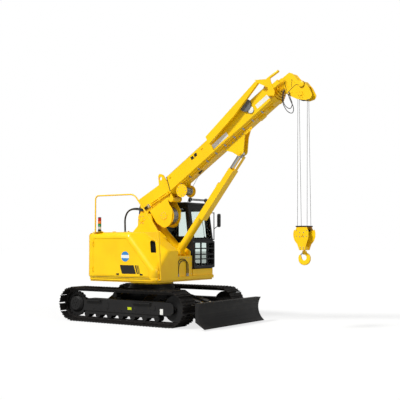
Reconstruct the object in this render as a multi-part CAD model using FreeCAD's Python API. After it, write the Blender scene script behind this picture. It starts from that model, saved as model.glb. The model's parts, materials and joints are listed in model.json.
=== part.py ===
import FreeCAD, Part
import math
import os

# Telescopic crawler crane, millimetres.
# Frame: origin on the ground under the slewing axis, +X forward to the blade, +Y left, +Z up.
# The machine stands on its tracks, the upper part faces forward and the boom is raised to BOOM_ANGLE.
# A boom piece is modelled lying flat, with the boom foot pin at the origin, and is then set on the boom.
# A cylinder piece is modelled along +X from its foot pin, and is then set on its own line.

Vector = FreeCAD.Vector

# Clearances
SEAT = 0.3            # two pieces that rest on or in each other
PIN_GAP = 0.3         # a pin in its bore, all round
RUN = 6.0             # pieces that move past each other
HINGE_RADIUS = 12.0
HINGE_LENGTH = 55.0
HINGE_LEAF = 34.0

# Undercarriage
TUMBLER = 2880.0      # sprocket axle to idler axle
GAUGE = 1990.0        # middle of one track to middle of the other
SHOE_WIDTH = 500.0
PIN_RADIUS = 330.0    # chain pins round the sprocket
LINKS = 45
SHOE_THICK = 12.0
GROUSER = 20.0
CHAIN_OUT = 38.0      # chain's outer face above its pin line
CHAIN_IN = 32.0       # chain's running face below its pin line
CHAIN_WIDTH = 150.0
TRACK_AXIS = PIN_RADIUS + CHAIN_OUT + SHOE_THICK + GROUSER
FRAME_WIDTH = 240.0
FRAME_LOW = 258.0
FRAME_TOP = 540.0
ROLLER_RADIUS = 74.0
CARRIER_RADIUS = 60.0
DRIVE_IN = 119.0      # drive plate's outer face, inward of the track's middle
DRIVE_PLATE = 27.0
IDLER_HALF = 74.0     # half length of the idler's hub
RING_RADIUS = 520.0
RING_HEIGHT = 70.0
BODY_TOP = 800.0      # top of the car body, under the slewing ring

# Blade
BLADE_WIDTH = 2490.0
BLADE_TIP = 2370.0
BLADE_DEPTH = 235.0
BLADE_FOOT = 30.0
BLADE_TOP = 570.0
ARM_PIN = (790.0, 430.0)
ARM_Y = 400.0
ARM_WIDTH = 140.0
BLADE_CYL_FOOT = (720.0, 660.0)
BLADE_CYL_EYE = (1950.0, 400.0)
BLADE_CYL_Y = 175.0
BLADE_LUG_IN = 54.0   # inner faces of a blade cylinder's lugs, from the cylinder's middle
BLADE_LUG = 20.0
BLADE_PIN = 22.0

# Upper structure
DECK_LOW = 950.0
DECK_TOP = 1060.0
HOOD_TOP = 2080.0
TAIL_RADIUS = 1490.0
SIDE = 1195.0         # half width of the hoods
HOOD_FRONT = 1040.0
HOOD_REAR = -TAIL_RADIUS * 89 / 149     # the counterweight is the tail behind this
HOOD_INNER = 222.0    # hoods stop this far from the middle, beside the boom foot plates
SHEET = 26.0
CHEEK_IN = 186.0
CHEEK_THICK = 28.0
BOX_TOP = 1530.0      # top of the front box under the derrick cylinder
CORNER = 140.0        # radius of the hood's edges

# Boom, lying flat with the foot pin at (0, 0)
BOOM_ANGLE = 34.5
BOOM_PIN = (-150.0, 2380.0)
BOOM_PIN_RADIUS = 50.0
BOOM_WIDTH = 420.0
BOOM_HEIGHT = 400.0
BOOM_FLOOR = 210.0    # width of the flat underside, between the sloping shoulders
BOOM_SHOULDER = 65.0  # height of the shoulders
BOOM_WALL = 8.0
FOOT_WIDTH = 360.0
LIFTING_EYE = (975.0, 500.0)
EYE_BORE = 45.0
EYE_PLATE = 40.0
EYE_PLATE_Y = -160.0
BASE_BACK = (1048.0, 1172.0)   # slanting rear edge of the outer section, at its floor and its top
BASE_END = 4450.0
SECTION_STEP = 50.0   # each head stands this far past the one before
SECTION_GAP = 18.0    # between a section and the tube round it
HEAD_AXLE = (4930.0, -250.0)
SHEAVE_RADIUS = 112.0 # to the middle of the rope
SHEAVE_HALF = 12.0
HEAD_SHEAVE_Y = 31.0
BLOCK_SHEAVE_Y = 90.0
ROPE_RADIUS = 5.0
EYE_ALONG = 3030.0    # derrick cylinder eye on the boom
EYE_BELOW = 318.0
EYE_RADIUS = 60.0

# Derrick cylinder
CYL_FOOT = (800.0, 1620.0)
BARREL_RADIUS = 88.0
ROD_RADIUS = 50.0
BARREL_LENGTH = 1930.0
FOOT_PIN = 36.0
FOOT_LUG_IN = 96.0    # inner faces of the lugs at the cylinder's foot, from the middle
LUG_IN = 68.0         # inner faces of the bracket plates under the boom
LUG_THICK = 26.0

# Winch under the boom
WINCH = (575.0, -285.0)
WINCH_FLANGE = 270.0
WINCH_HALF = 150.0

# Hook block
BLOCK_TOP = 2190.0
BLOCK_AXLE = 2010.0
BLOCK_LOW = 1683.0
BLOCK_SIDE = 157.0    # half length of the cheek plates
BLOCK_CHEEK = 112.0   # inner face of the cheek plates
HOOK_LOW = 1370.0
SHANK_RADIUS = 24.0
HEAD_BLOCK = 77.0     # top of the cross head above the cheeks' lower edge


# Helpers
def outline(points, plane, at):
    """Closed wire through (a, b) or (a, b, corner radius) points in plane xz, xy or yz."""
    spot = {"xz": lambda a, b: Vector(a, at, b), "xy": lambda a, b: Vector(a, b, at),
            "yz": lambda a, b: Vector(at, a, b)}[plane]
    count = len(points)
    corners = []
    for i, point in enumerate(points):
        here = FreeCAD.Base.Vector2d(point[0], point[1])
        radius = point[2] if len(point) > 2 else 0.0
        if not radius:
            corners.append([spot(here.x, here.y)])
            continue
        before, after = points[i - 1], points[(i + 1) % count]
        to_before = math.atan2(before[1] - here.y, before[0] - here.x)
        to_after = math.atan2(after[1] - here.y, after[0] - here.x)
        turn = (to_after - to_before) % (2 * math.pi)
        turn = turn if turn <= math.pi else turn - 2 * math.pi
        half = abs(turn) / 2
        middle = to_before + turn / 2
        reach = radius / math.tan(half)
        depth = radius / math.sin(half)
        corners.append([
            spot(here.x + reach * math.cos(to_before), here.y + reach * math.sin(to_before)),
            spot(here.x + (depth - radius) * math.cos(middle), here.y + (depth - radius) * math.sin(middle)),
            spot(here.x + reach * math.cos(to_after), here.y + reach * math.sin(to_after))])
    edges = []
    for i, corner in enumerate(corners):
        if len(corner) == 3:
            edges.append(Part.Arc(*corner).toShape())
        start, end = corner[-1], corners[(i + 1) % count][0]
        if start.distanceToPoint(end) > 1e-6:
            edges.append(Part.LineSegment(start, end).toShape())
    return Part.Wire(edges)


def slab(points, plane, low, high):
    """The outline, extruded from low to high along the axis it doesn't hold."""
    along = {"xz": Vector(0, 1, 0), "xy": Vector(0, 0, 1), "yz": Vector(1, 0, 0)}[plane]
    return Part.Face(outline(points, plane, low)).extrude(along * (high - low))


def inset(points, gap, plain=False):
    """A convex outline, listed anticlockwise, drawn in by gap, with its corner radii drawn in too or left out."""
    count = len(points)
    lines = []
    for i in range(count):
        (ax, ay), (bx, by) = points[i][:2], points[(i + 1) % count][:2]
        size = math.hypot(bx - ax, by - ay)
        nx, ny = -(by - ay) / size, (bx - ax) / size
        lines.append((ax + nx * gap, ay + ny * gap, (bx - ax) / size, (by - ay) / size))
    result = []
    for i in range(count):
        ax, ay, adx, ady = lines[i - 1]
        bx, by, bdx, bdy = lines[i]
        cross = adx * bdy - ady * bdx
        share = ((bx - ax) * bdy - (by - ay) * bdx) / cross
        radius = points[i][2] if len(points[i]) > 2 and not plain else 0.0
        spot = (ax + share * adx, ay + share * ady)
        result.append(spot + (max(radius - gap, 4.0),) if radius else spot)
    return result


def box(x0, x1, y0, y1, z0, z1):
    return Part.makeBox(x1 - x0, y1 - y0, z1 - z0, Vector(x0, y0, z0))


def round_y(x, z, radius, y0, y1):
    return Part.makeCylinder(radius, y1 - y0, Vector(x, y0, z), Vector(0, 1, 0))


def round_z(x, y, radius, z0, z1):
    return Part.makeCylinder(radius, z1 - z0, Vector(x, y, z0), Vector(0, 0, 1))


def round_x(y, z, radius, x0, x1):
    return Part.makeCylinder(radius, x1 - x0, Vector(x0, y, z), Vector(1, 0, 0))


def turned_y(profile, x, y, z):
    """Profile of (radius, along Y) points turned about the Y line through (x, z)."""
    wire = Part.makePolygon([Vector(r, a, 0) for r, a in profile + profile[:1]])
    solid = Part.Face(wire).revolve(Vector(0, 0, 0), Vector(0, 1, 0), 360)
    solid.translate(Vector(x, y, z))
    return solid


def turned_z(profile, x, y):
    """Profile of (radius, height) points turned about the vertical line through (x, y)."""
    wire = Part.makePolygon([Vector(r, 0, a) for r, a in profile + profile[:1]])
    solid = Part.Face(wire).revolve(Vector(0, 0, 0), Vector(0, 0, 1), 360)
    solid.translate(Vector(x, y, 0))
    return solid


def pipe(points, radius, bends):
    """Round bar along straight runs, with each corner turned at its own bend radius."""
    spots = [Vector(*p) for p in points]
    edges = []
    start = spots[0]
    for before, here, after, bend in zip(spots, spots[1:], spots[2:], bends):
        back = (before - here).normalize()
        on = (after - here).normalize()
        half = back.getAngle(on) / 2
        reach = bend / math.tan(half)
        first, last = here + back * reach, here + on * reach
        middle = (back + on).normalize()
        edges.append(Part.LineSegment(start, first).toShape())
        edges.append(Part.Arc(first, here + middle * (bend / math.sin(half) - bend), last).toShape())
        start = last
    edges.append(Part.LineSegment(start, spots[-1]).toShape())
    path = Part.Wire(edges)
    ring = Part.Wire(Part.makeCircle(radius, spots[0], spots[1] - spots[0]))
    return path.makePipeShell([ring], True, False)


def rod(start, end, radius):
    """Straight round bar between two points."""
    low, high = Vector(*start), Vector(*end)
    return Part.makeCylinder(radius, low.distanceToPoint(high), low, high - low)


def fused(first, *others):
    pieces = [p for p in others]
    return first.fuse(pieces).removeSplitter() if pieces else first


def hinge_halves(x, y, z, along, out, toward):
    """Moving and fixed halves of a hinge at (x, y, z) on a sheet: out leaves the sheet, toward is the door's side."""
    start = Vector(x, y, z) + out * (HINGE_RADIUS + SEAT)
    halves = []
    for step, side in ((0.0, toward), (HINGE_LENGTH + SEAT, toward * -1)):
        foot = start + along * step
        knuckle = Part.makeCylinder(HINGE_RADIUS, HINGE_LENGTH, foot, along)
        sheet = foot - out * (HINGE_RADIUS + SEAT)
        near = sheet + side * (RUN + 1)
        far = sheet + side * HINGE_LEAF
        top_far, top_near = far + out * 7, foot - out * (HINGE_RADIUS - 7)
        leaf = Part.Face(Part.makePolygon([near, far, top_far, top_near, near])).extrude(along * HINGE_LENGTH)
        halves.append(knuckle.fuse(leaf))
    return halves


def both_sides(make):
    """The left piece and its mirror image on the right, as one shape of separate solids."""
    left = make()
    return Part.makeCompound([left, left.mirror(Vector(0, 0, 0), Vector(0, 1, 0))])


def set_on(pin, angle):
    return FreeCAD.Placement(Vector(pin[0], 0, pin[1]), FreeCAD.Rotation(Vector(0, 1, 0), -angle))


def place(shape, pin, angle):
    moved = shape.copy()
    moved.Placement = set_on(pin, angle).multiply(moved.Placement)
    return moved


def on_boom(shape):
    return place(shape, BOOM_PIN, BOOM_ANGLE)


def boom_point(along, above):
    spot = set_on(BOOM_PIN, BOOM_ANGLE).multVec(Vector(along, 0, above))
    return spot.x, spot.z


def line_angle(start, end):
    return math.degrees(math.atan2(end[1] - start[1], end[0] - start[0]))


# Undercarriage
def chain_pins():
    """Chain pin places round the loop, as (x, z), from the bottom rear going forward."""
    half_turn = math.pi * PIN_RADIUS
    pitch = (2 * TUMBLER + 2 * half_turn) / LINKS
    front, rear = TUMBLER / 2, -TUMBLER / 2
    pins = []
    for link in range(LINKS):
        way = link * pitch
        if way < TUMBLER:
            pins.append((rear + way, TRACK_AXIS - PIN_RADIUS))
        elif way < TUMBLER + half_turn:
            turn = (way - TUMBLER) / PIN_RADIUS
            pins.append((front + PIN_RADIUS * math.sin(turn), TRACK_AXIS - PIN_RADIUS * math.cos(turn)))
        elif way < 2 * TUMBLER + half_turn:
            pins.append((front - (way - TUMBLER - half_turn), TRACK_AXIS + PIN_RADIUS))
        else:
            turn = (way - 2 * TUMBLER - half_turn) / PIN_RADIUS
            pins.append((rear - PIN_RADIUS * math.sin(turn), TRACK_AXIS + PIN_RADIUS * math.cos(turn)))
    return pins, pitch


def track():
    """Left track: a chain band with a three-rib shoe on each link."""
    pins, pitch = chain_pins()
    middle = GAUGE / 2
    turns = []
    for i, pin in enumerate(pins):
        back, on = pins[i - 1], pins[(i + 1) % LINKS]
        turns.append((pin, math.atan2(on[1] - back[1], on[0] - back[0])))

    def band(rise):
        spots = []
        for (x, z), along in turns:
            spots.append((x + rise * math.sin(along), z - rise * math.cos(along)))
        kept = [s for i, s in enumerate(spots)
                if abs(line_angle(spots[i - 1], s) - line_angle(s, spots[(i + 1) % LINKS])) > 0.01]
        return slab(kept, "xz", middle - CHAIN_WIDTH / 2, middle + CHAIN_WIDTH / 2)

    chain = band(CHAIN_OUT).cut(band(-CHAIN_IN))
    half = pitch / 2 - 2.5
    base = CHAIN_OUT + SHOE_THICK
    rib_half, rib_top = 13.0, 5.0
    profile = [(-half, CHAIN_OUT - 2), (half, CHAIN_OUT - 2), (half, base + GROUSER), (half - 2 * rib_half, base),
               (rib_half, base), (rib_top, base + GROUSER), (-rib_top, base + GROUSER), (-rib_half, base),
               (2 * rib_half - half, base), (-half, base + GROUSER)]
    shoes = []
    for i, (x, z) in enumerate(pins):
        nx, nz = pins[(i + 1) % LINKS]
        along = math.atan2(nz - z, nx - x)
        mx, mz = (x + nx) / 2, (z + nz) / 2
        points = [(mx + t * math.cos(along) + h * math.sin(along),
                   mz + t * math.sin(along) - h * math.cos(along)) for t, h in profile]
        shoes.append(slab(points, "xz", middle - SHOE_WIDTH / 2, middle + SHOE_WIDTH / 2))
    return chain.fuse(shoes)


def wheel_radius():
    """The chain's running face is a polygon, so a wheel inside it is a little smaller."""
    _, pitch = chain_pins()
    return PIN_RADIUS * math.cos(pitch / 2 / PIN_RADIUS) - CHAIN_IN - SEAT


def sprocket():
    rim = wheel_radius()
    teeth = 20
    root, width = rim - 24.0, 62.0
    spots = []
    for i in range(teeth):
        for share, radius in ((0.0, root), (0.3, rim), (0.7, rim)):
            turn = 2 * math.pi * (i + share) / teeth
            spots.append((-TUMBLER / 2 + radius * math.cos(turn), TRACK_AXIS + radius * math.sin(turn)))
    disc = slab(spots, "xz", GAUGE / 2 - width / 2, GAUGE / 2 + width / 2)
    drive = [(0, SEAT - DRIVE_IN), (150, SEAT - DRIVE_IN), (150, -60), (205, -60), (205, 44), (150, 100), (0, 100)]
    return fused(disc, turned_y(drive, -TUMBLER / 2, GAUGE / 2, TRACK_AXIS))


def idler():
    rim, hub, half = wheel_radius(), 62.0, IDLER_HALF
    profile = [(0, -half), (hub, -half), (hub, -34), (rim, -34), (rim, 34), (hub, 34), (hub, half), (0, half)]
    return turned_y(profile, TUMBLER / 2, GAUGE / 2, TRACK_AXIS)


ROLLERS = 7
ROLLER_ENDS = 360.0   # first and last lower roller, in from the sprocket and idler axles
ROLLER_STEP = (TUMBLER - 2 * ROLLER_ENDS - 90.0) / (ROLLERS - 1)
LOWER_ROLLERS = [ROLLER_ENDS - TUMBLER / 2 + ROLLER_STEP * i for i in range(ROLLERS)]
CARRIER_X = -250.0


def rollers():
    """Lower rollers in their guard rail under the frame and one carrier roller on top, on one side."""
    run_low = TRACK_AXIS - PIN_RADIUS + CHAIN_IN
    run_high = TRACK_AXIS + PIN_RADIUS - CHAIN_IN
    height = run_low + SEAT + ROLLER_RADIUS
    first, last = LOWER_ROLLERS[0], LOWER_ROLLERS[-1]
    rail = box(first - 50, last + 50, GAUGE / 2 - 96, GAUGE / 2 + 96, height, FRAME_LOW - SEAT)
    wheels = [round_y(x, height, ROLLER_RADIUS, GAUGE / 2 - 88, GAUGE / 2 + 88) for x in LOWER_ROLLERS]
    top = run_high - SEAT - CARRIER_RADIUS
    carrier = round_y(CARRIER_X, top, CARRIER_RADIUS, GAUGE / 2 - 72, GAUGE / 2 + 60)
    post = slab([(CARRIER_X - 70, FRAME_TOP + SEAT), (CARRIER_X + 70, FRAME_TOP + SEAT), (CARRIER_X + 36, top + 20),
                 (CARRIER_X - 36, top + 20)], "xz", GAUGE / 2 - 100, GAUGE / 2 - 72)
    return Part.makeCompound([fused(rail, *wheels), fused(carrier, post)])


def track_frame():
    """Side frame: box beam, drive plate behind, idler yoke in front and two step bars outside."""
    inner, outer = GAUGE / 2 - FRAME_WIDTH / 2, GAUGE / 2 + FRAME_WIDTH / 2
    rear, front = -TUMBLER / 2, TUMBLER / 2
    beam = slab([(rear + 300, FRAME_LOW), (front - 330, FRAME_LOW), (front - 330, FRAME_TOP, 20),
                 (rear + 420, FRAME_TOP, 30), (rear + 300, FRAME_TOP - 120, 20)], "xz", inner, outer)
    drive = slab([(rear - 60, 300, 60), (rear + 320, FRAME_LOW), (rear + 320, FRAME_TOP - 60), (rear + 60, 560, 60),
                  (rear - 120, 520, 60)], "xz", GAUGE / 2 - DRIVE_IN - DRIVE_PLATE, GAUGE / 2 - DRIVE_IN)
    yoke = [(front - 340, FRAME_LOW), (front - 60, FRAME_LOW, 30), (front + 30, 320, 40), (front + 30, 480, 40),
            (front - 60, 530, 30), (front - 340, FRAME_TOP)]
    arms = [slab(yoke, "xz", GAUGE / 2 + side - 11, GAUGE / 2 + side + 11) for side in (-109, 109)]
    axle = round_y(front, TRACK_AXIS, 40, GAUGE / 2 - 110, GAUGE / 2 - IDLER_HALF - SEAT)
    axle_out = round_y(front, TRACK_AXIS, 40, GAUGE / 2 + IDLER_HALF + SEAT, GAUGE / 2 + 110)
    steps = [slab([(x0, 486), (x1, 486), (x1, 512, 8), (x0, 512, 8)], "xz", outer - 5, outer + 62)
             for x0, x1 in ((-1060, -600), (330, 860))]
    return fused(beam, drive, *arms, axle, axle_out, *steps)


def car_body():
    """Centre box with front and rear cross legs to the side frames, and the blade lugs."""
    inner = GAUGE / 2 - FRAME_WIDTH / 2 - SEAT
    leg = [(-inner, 300), (-inner, 520), (-470, 716), (470, 716), (inner, 520), (inner, 300), (520, 372), (-520, 372)]
    pieces = [slab(leg, "yz", x, x + 250) for x in (-640, 390)]
    centre = box(-500, 500, -480, 480, 400, 740)
    drum = round_z(0, 0, RING_RADIUS + 30, 700, BODY_TOP)
    lugs = []
    for side in (-1, 1):
        for offset in (-1, 1):
            y = side * ARM_Y + offset * (ARM_WIDTH / 2 + 14 + RUN)
            lugs.append(slab([(620, 350), (820, 350, 60), (870, 500, 60), (620, 560)], "xz", y - 14, y + 14))
        pin = round_y(ARM_PIN[0], ARM_PIN[1], 32, side * ARM_Y - ARM_WIDTH / 2 - 36, side * ARM_Y + ARM_WIDTH / 2 + 36)
        lugs.append(pin)
        foot_x, foot_z = BLADE_CYL_FOOT
        for offset in (-1, 1):
            y = side * BLADE_CYL_Y + offset * (BLADE_LUG_IN + BLADE_LUG / 2)
            lugs.append(slab([(foot_x - 120, foot_z - 100), (foot_x - 20, foot_z - 100, 20), (foot_x + 48, foot_z - 20, 40),
                              (foot_x + 30, foot_z + 52, 40), (foot_x - 120, foot_z + 50)],
                             "xz", y - BLADE_LUG / 2, y + BLADE_LUG / 2))
        reach = BLADE_LUG_IN + BLADE_LUG + 8
        lugs.append(round_y(foot_x, foot_z, BLADE_PIN, side * BLADE_CYL_Y - reach, side * BLADE_CYL_Y + reach))
    return fused(centre, *pieces, drum, *lugs)


def slew_race():
    outer = round_z(0, 0, RING_RADIUS, BODY_TOP, BODY_TOP + RING_HEIGHT)
    return outer.cut(round_z(0, 0, RING_RADIUS - 130, BODY_TOP - 1, BODY_TOP + RING_HEIGHT + 1))


def blade():
    """Curved blade with end plates, on two push arms joined by a cross bar."""
    half = BLADE_WIDTH / 2
    back = BLADE_TIP - BLADE_DEPTH
    face = Part.Arc(Vector(BLADE_TIP, -half, BLADE_FOOT), Vector(BLADE_TIP - 165, -half, 320),
                    Vector(BLADE_TIP - 95, -half, BLADE_TOP)).toShape()
    rest = Part.makePolygon([Vector(BLADE_TIP - 95, -half, BLADE_TOP), Vector(back, -half, BLADE_TOP),
                             Vector(back, -half, BLADE_FOOT + 140), Vector(BLADE_TIP, -half, BLADE_FOOT)])
    board = Part.Face(Part.Wire([face] + rest.Edges)).extrude(Vector(0, BLADE_WIDTH, 0))
    hollow = box(back - 1, back + 46, -half + 26, half - 26, BLADE_FOOT + 190, BLADE_TOP - 70)
    board = board.cut(hollow)
    ribs = [box(back, back + 50, y - 12, y + 12, BLADE_FOOT + 170, BLADE_TOP - 60) for y in (-820, 0, 820)]
    arms = []
    for side in (-1, 1):
        arm = slab([(ARM_PIN[0], ARM_PIN[1] - 62, 60), (1300, 300, 200), (back + 60, 210), (back + 60, 420),
                    (1340, 450, 200), (ARM_PIN[0], ARM_PIN[1] + 62, 60)], "xz",
                   side * ARM_Y - ARM_WIDTH / 2, side * ARM_Y + ARM_WIDTH / 2)
        arm = fused(arm, round_y(ARM_PIN[0], ARM_PIN[1], 66, side * ARM_Y - ARM_WIDTH / 2,
                                 side * ARM_Y + ARM_WIDTH / 2))
        arms.append(arm)
    eye_x, eye_z = BLADE_CYL_EYE
    bar = box(eye_x - 20, eye_x + 110, -ARM_Y, ARM_Y, eye_z - 190, eye_z - 75)
    lugs = []
    for side in (-1, 1):
        for offset in (-1, 1):
            y = side * BLADE_CYL_Y + offset * (BLADE_LUG_IN + BLADE_LUG / 2)
            lugs.append(slab([(eye_x - 20, eye_z - 100), (eye_x + 110, eye_z - 100), (eye_x + 50, eye_z + 45, 30),
                              (eye_x - 45, eye_z + 45, 40)], "xz", y - BLADE_LUG / 2, y + BLADE_LUG / 2))
    solid = fused(board, *ribs, *arms, bar, *lugs)
    bores = [round_y(ARM_PIN[0], ARM_PIN[1], 32 + PIN_GAP, side * ARM_Y - ARM_WIDTH, side * ARM_Y + ARM_WIDTH)
             for side in (-1, 1)]
    return solid.cut(Part.makeCompound(bores))


def cylinder_pair(make):
    """The same cylinder piece at both blade cylinders."""
    angle = line_angle(BLADE_CYL_FOOT, BLADE_CYL_EYE)
    pieces = []
    for side in (-1, 1):
        piece = place(make(), BLADE_CYL_FOOT, angle)
        piece.translate(Vector(0, side * BLADE_CYL_Y, 0))
        pieces.append(piece)
    return Part.makeCompound(pieces)


def span(start, end):
    return math.hypot(end[0] - start[0], end[1] - start[1])


BLADE_BARREL = 830.0


def blade_barrel():
    half = BLADE_LUG_IN - RUN
    eye = round_y(0, 0, 40, -half, half)
    tube = round_x(0, 0, 46, 30, BLADE_BARREL)
    solid = fused(eye, tube).cut(round_x(0, 0, 28 + PIN_GAP, 160, BLADE_BARREL + 1))
    return solid.cut(round_y(0, 0, BLADE_PIN + PIN_GAP, -half - 1, half + 1))


def blade_rod():
    length = span(BLADE_CYL_FOOT, BLADE_CYL_EYE)
    half = BLADE_LUG_IN - RUN
    return fused(round_x(0, 0, 28, 420, length - 30), round_y(length, 0, 40, -half, half))


# Upper structure
def turntable():
    """Deck, slewing ring top, boom foot plates, front box with the derrick cylinder lugs, and cab base."""
    ring = round_z(0, 0, RING_RADIUS - 8, BODY_TOP + RING_HEIGHT + 0.5, DECK_LOW)
    deck = slab([(HOOD_REAR, -SIDE + 30), (HOOD_FRONT - 40, -SIDE + 30, 90), (HOOD_FRONT - 40, SIDE - 45, 90),
                 (HOOD_REAR, SIDE - 30)], "xy", DECK_LOW, DECK_LOW + 40)
    sill = slab([(HOOD_REAR, -SIDE), (HOOD_FRONT, -SIDE, CORNER), (HOOD_FRONT, SIDE - 20, 110), (HOOD_REAR, SIDE)],
                "xy", DECK_LOW + 40, DECK_TOP)
    px, pz = BOOM_PIN
    end = HOOD_FRONT - 60
    rear = HOOD_REAR + 250
    cheek = [(rear, DECK_TOP), (end, DECK_TOP), (end, 1640), (900, 1690, 60), (689, 1782, 150), (336, 2110, 150),
             (px + 336, pz - 57, 80), (px + 275, pz + 143, 70), (px - 100, pz + 160, 100), (px - 112, pz - 140, 80),
             (-420, 2090, 150), (rear + 40, 1900, 60)]
    cheeks = []
    for low in (CHEEK_IN, -CHEEK_IN - CHEEK_THICK):
        cheeks.append(slab(cheek, "xz", low, low + CHEEK_THICK))
    pin = round_y(px, pz, BOOM_PIN_RADIUS, -CHEEK_IN - CHEEK_THICK - 14, CHEEK_IN + CHEEK_THICK + 14)
    front = box(640, end, -350, 270, DECK_TOP, BOX_TOP)
    fx, fz = CYL_FOOT
    lugs = []
    for side in (-1, 1):
        y = side * (FOOT_LUG_IN + LUG_THICK / 2)
        lugs.append(slab([(fx - 130, BOX_TOP - 5), (fx + 110, BOX_TOP - 5), (fx + 70, fz + 70, 70), (fx - 70, fz + 70, 70)],
                         "xz", y - LUG_THICK / 2, y + LUG_THICK / 2))
    reach = FOOT_LUG_IN + LUG_THICK + 14
    foot_pin = round_y(fx, fz, FOOT_PIN, -reach, reach)
    cab_base = slab([(CAB_REAR - 10, CAB_RIGHT - 2), (HOOD_FRONT - 50, CAB_RIGHT - 2),
                     (HOOD_FRONT - 50, SIDE - 25, 60), (CAB_REAR - 10, SIDE - 25)], "xy", DECK_TOP, CAB_LOW)
    return fused(ring, deck, sill, *cheeks, pin, front, *lugs, foot_pin, cab_base)


def counterweight():
    """Tail block with the slewing radius as its back, rounded at the top and drawn in at the foot."""
    gap, drawn = 4.0, 40.0
    widest = math.sqrt(TAIL_RADIUS ** 2 - (HOOD_REAR - 40) ** 2)
    y = min(SIDE, widest) - gap
    start = -math.sqrt(TAIL_RADIUS ** 2 - y ** 2)
    foot_top = DECK_LOW + 110
    top = HOOD_TOP - 15

    def plan(radius, half, z):
        x = -math.sqrt(radius ** 2 - half ** 2)
        arc = Part.Arc(Vector(x, -half, z), Vector(-radius, 0, z), Vector(x, half, z)).toShape()
        rest = Part.makePolygon([Vector(x, half, z), Vector(HOOD_REAR - SEAT, half, z),
                                 Vector(HOOD_REAR - SEAT, -half, z), Vector(x, -half, z)])
        return Part.Wire([arc] + rest.Edges)

    block = Part.Face(plan(TAIL_RADIUS, y, foot_top)).extrude(Vector(0, 0, top - foot_top))
    rim = [e for e in block.Edges if e.BoundBox.ZMin > top - 5 and e.Length > y and e.BoundBox.XMin < start - 9]
    block = block.makeFillet(70, rim)
    skirt = Part.Face(plan(TAIL_RADIUS - drawn, y - drawn, DECK_LOW)).extrude(Vector(0, 0, foot_top - DECK_LOW))
    return fused(block, skirt)


DOOR_REAR, DOOR_FRONT, DOOR_HEAD = HOOD_REAR + 90, 860.0, 205.0
DOOR_LOW, DOOR_KNEE, DOOR_TOP = 1085.0, 1225.0, 1932.0
LID = (HOOD_REAR + 70, 120.0, -1020.0, -330.0)      # x0, x1, y0, y1 of the top lid
# The crease where the hood's side turns to its sloping corner: x and z at its top and further down
CREASE_TOP = (194.0, HOOD_TOP)
CREASE_LOW = (803.0, 1413.0)
CREASE_PLAN = 46.0    # the sloping corner faces this far round from the side
INTAKE = (737.0, -900.0, 1730.0)            # middle of the oval intake in the sloping corner
INTAKE_SIZE = (124.0, 330.0)


def half_space(spot, normal):
    """Large block whose face passes through spot, on the side that normal points to."""
    size = 4 * SIDE
    solid = Part.makeBox(size, size, size, Vector(-size / 2, -size / 2, 0))
    solid.Placement = FreeCAD.Placement(spot, FreeCAD.Rotation(Vector(0, 0, 1), normal))
    return solid


def hood_solid(inset_by):
    """The right-hand hood's form, drawn in on every side but the foot."""
    i = inset_by
    points = [(HOOD_REAR + i, DECK_TOP), (HOOD_FRONT - i, DECK_TOP), (HOOD_FRONT - i, 1650 - i * 0.5),
              (450 - i * 0.4, HOOD_TOP - i), (HOOD_REAR + i, HOOD_TOP - i)]
    solid = slab(points, "xz", -SIDE + i, -HOOD_INNER - i)
    top = Vector(CREASE_TOP[0], -SIDE, CREASE_TOP[1])
    down = Vector(CREASE_LOW[0], -SIDE, CREASE_LOW[1]) - top
    turn = math.radians(CREASE_PLAN)
    normal = down.cross(Vector(math.cos(turn), math.sin(turn), 0)).normalize()
    spot = top - normal * i
    solid = solid.cut(half_space(spot, normal))
    rounded = []
    for edge in solid.Edges:
        b = edge.BoundBox
        upper = b.ZMax > DECK_TOP + 1 and b.XMax > HOOD_REAR + i + 1
        side = b.YMax < -SIDE + i + 0.01
        sloping = max(abs((v.Point - spot).dot(normal)) for v in edge.Vertexes) < 0.01 and b.YMax < -HOOD_INNER - i - 1
        if upper and (side or sloping):
            rounded.append(edge)
    solid = solid.makeFillet(CORNER - i, rounded)
    return solid.cut(box(610 - i, HOOD_FRONT + 50, -362 - i, 0, DECK_TOP - 1, HOOD_TOP + 1))


def door_outline(gap):
    return inset([(DOOR_REAR, DOOR_LOW, 40), (DOOR_FRONT, DOOR_LOW, 40), (DOOR_FRONT, DOOR_KNEE, 80),
                  (DOOR_HEAD, DOOR_TOP, 90), (DOOR_REAR, DOOR_TOP, 40)], gap)


SIDE_DOOR_HINGES = (1170.0, 1760.0)
LID_HINGES = (-950.0, -480.0)


def side_hinges(part):
    return [hinge_halves(DOOR_REAR, -SIDE, z, Vector(0, 0, 1), Vector(0, -1, 0), Vector(1, 0, 0))[part]
            for z in SIDE_DOOR_HINGES]


def lid_hinges(part):
    return [hinge_halves(LID[0], y, HOOD_TOP, Vector(0, 1, 0), Vector(0, 0, 1), Vector(1, 0, 0))[part]
            for y in LID_HINGES]


def engine_hood():
    shell = hood_solid(0).cut(hood_solid(SHEET))
    shell = shell.cut(box(HOOD_REAR - 1, HOOD_REAR + SHEET + 1, -SIDE + 120, -HOOD_INNER - 60, DECK_TOP + 60,
                          HOOD_TOP - 120))
    shell = shell.cut(slab(door_outline(0), "xz", -SIDE - 5, -SIDE + SHEET + 5))
    x0, x1, y0, y1 = LID
    shell = shell.cut(slab([(x0, y0, 40), (x1, y0, 40), (x1, y1, 40), (x0, y1, 40)], "xy",
                           HOOD_TOP - SHEET - 5, HOOD_TOP + 5))
    wide, high = INTAKE_SIZE[0] / 2, INTAKE_SIZE[1] / 2
    end = wide - 0.01
    slot = slab([(-wide, -high, end), (wide, -high, end), (wide, high, end), (-wide, high, end)], "xz", -120, 90)
    slot.Placement = FreeCAD.Placement(Vector(*INTAKE), FreeCAD.Rotation(Vector(0, 0, 1), CREASE_PLAN))
    return fused(shell.cut(slot), *side_hinges(1), *lid_hinges(1))


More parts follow.
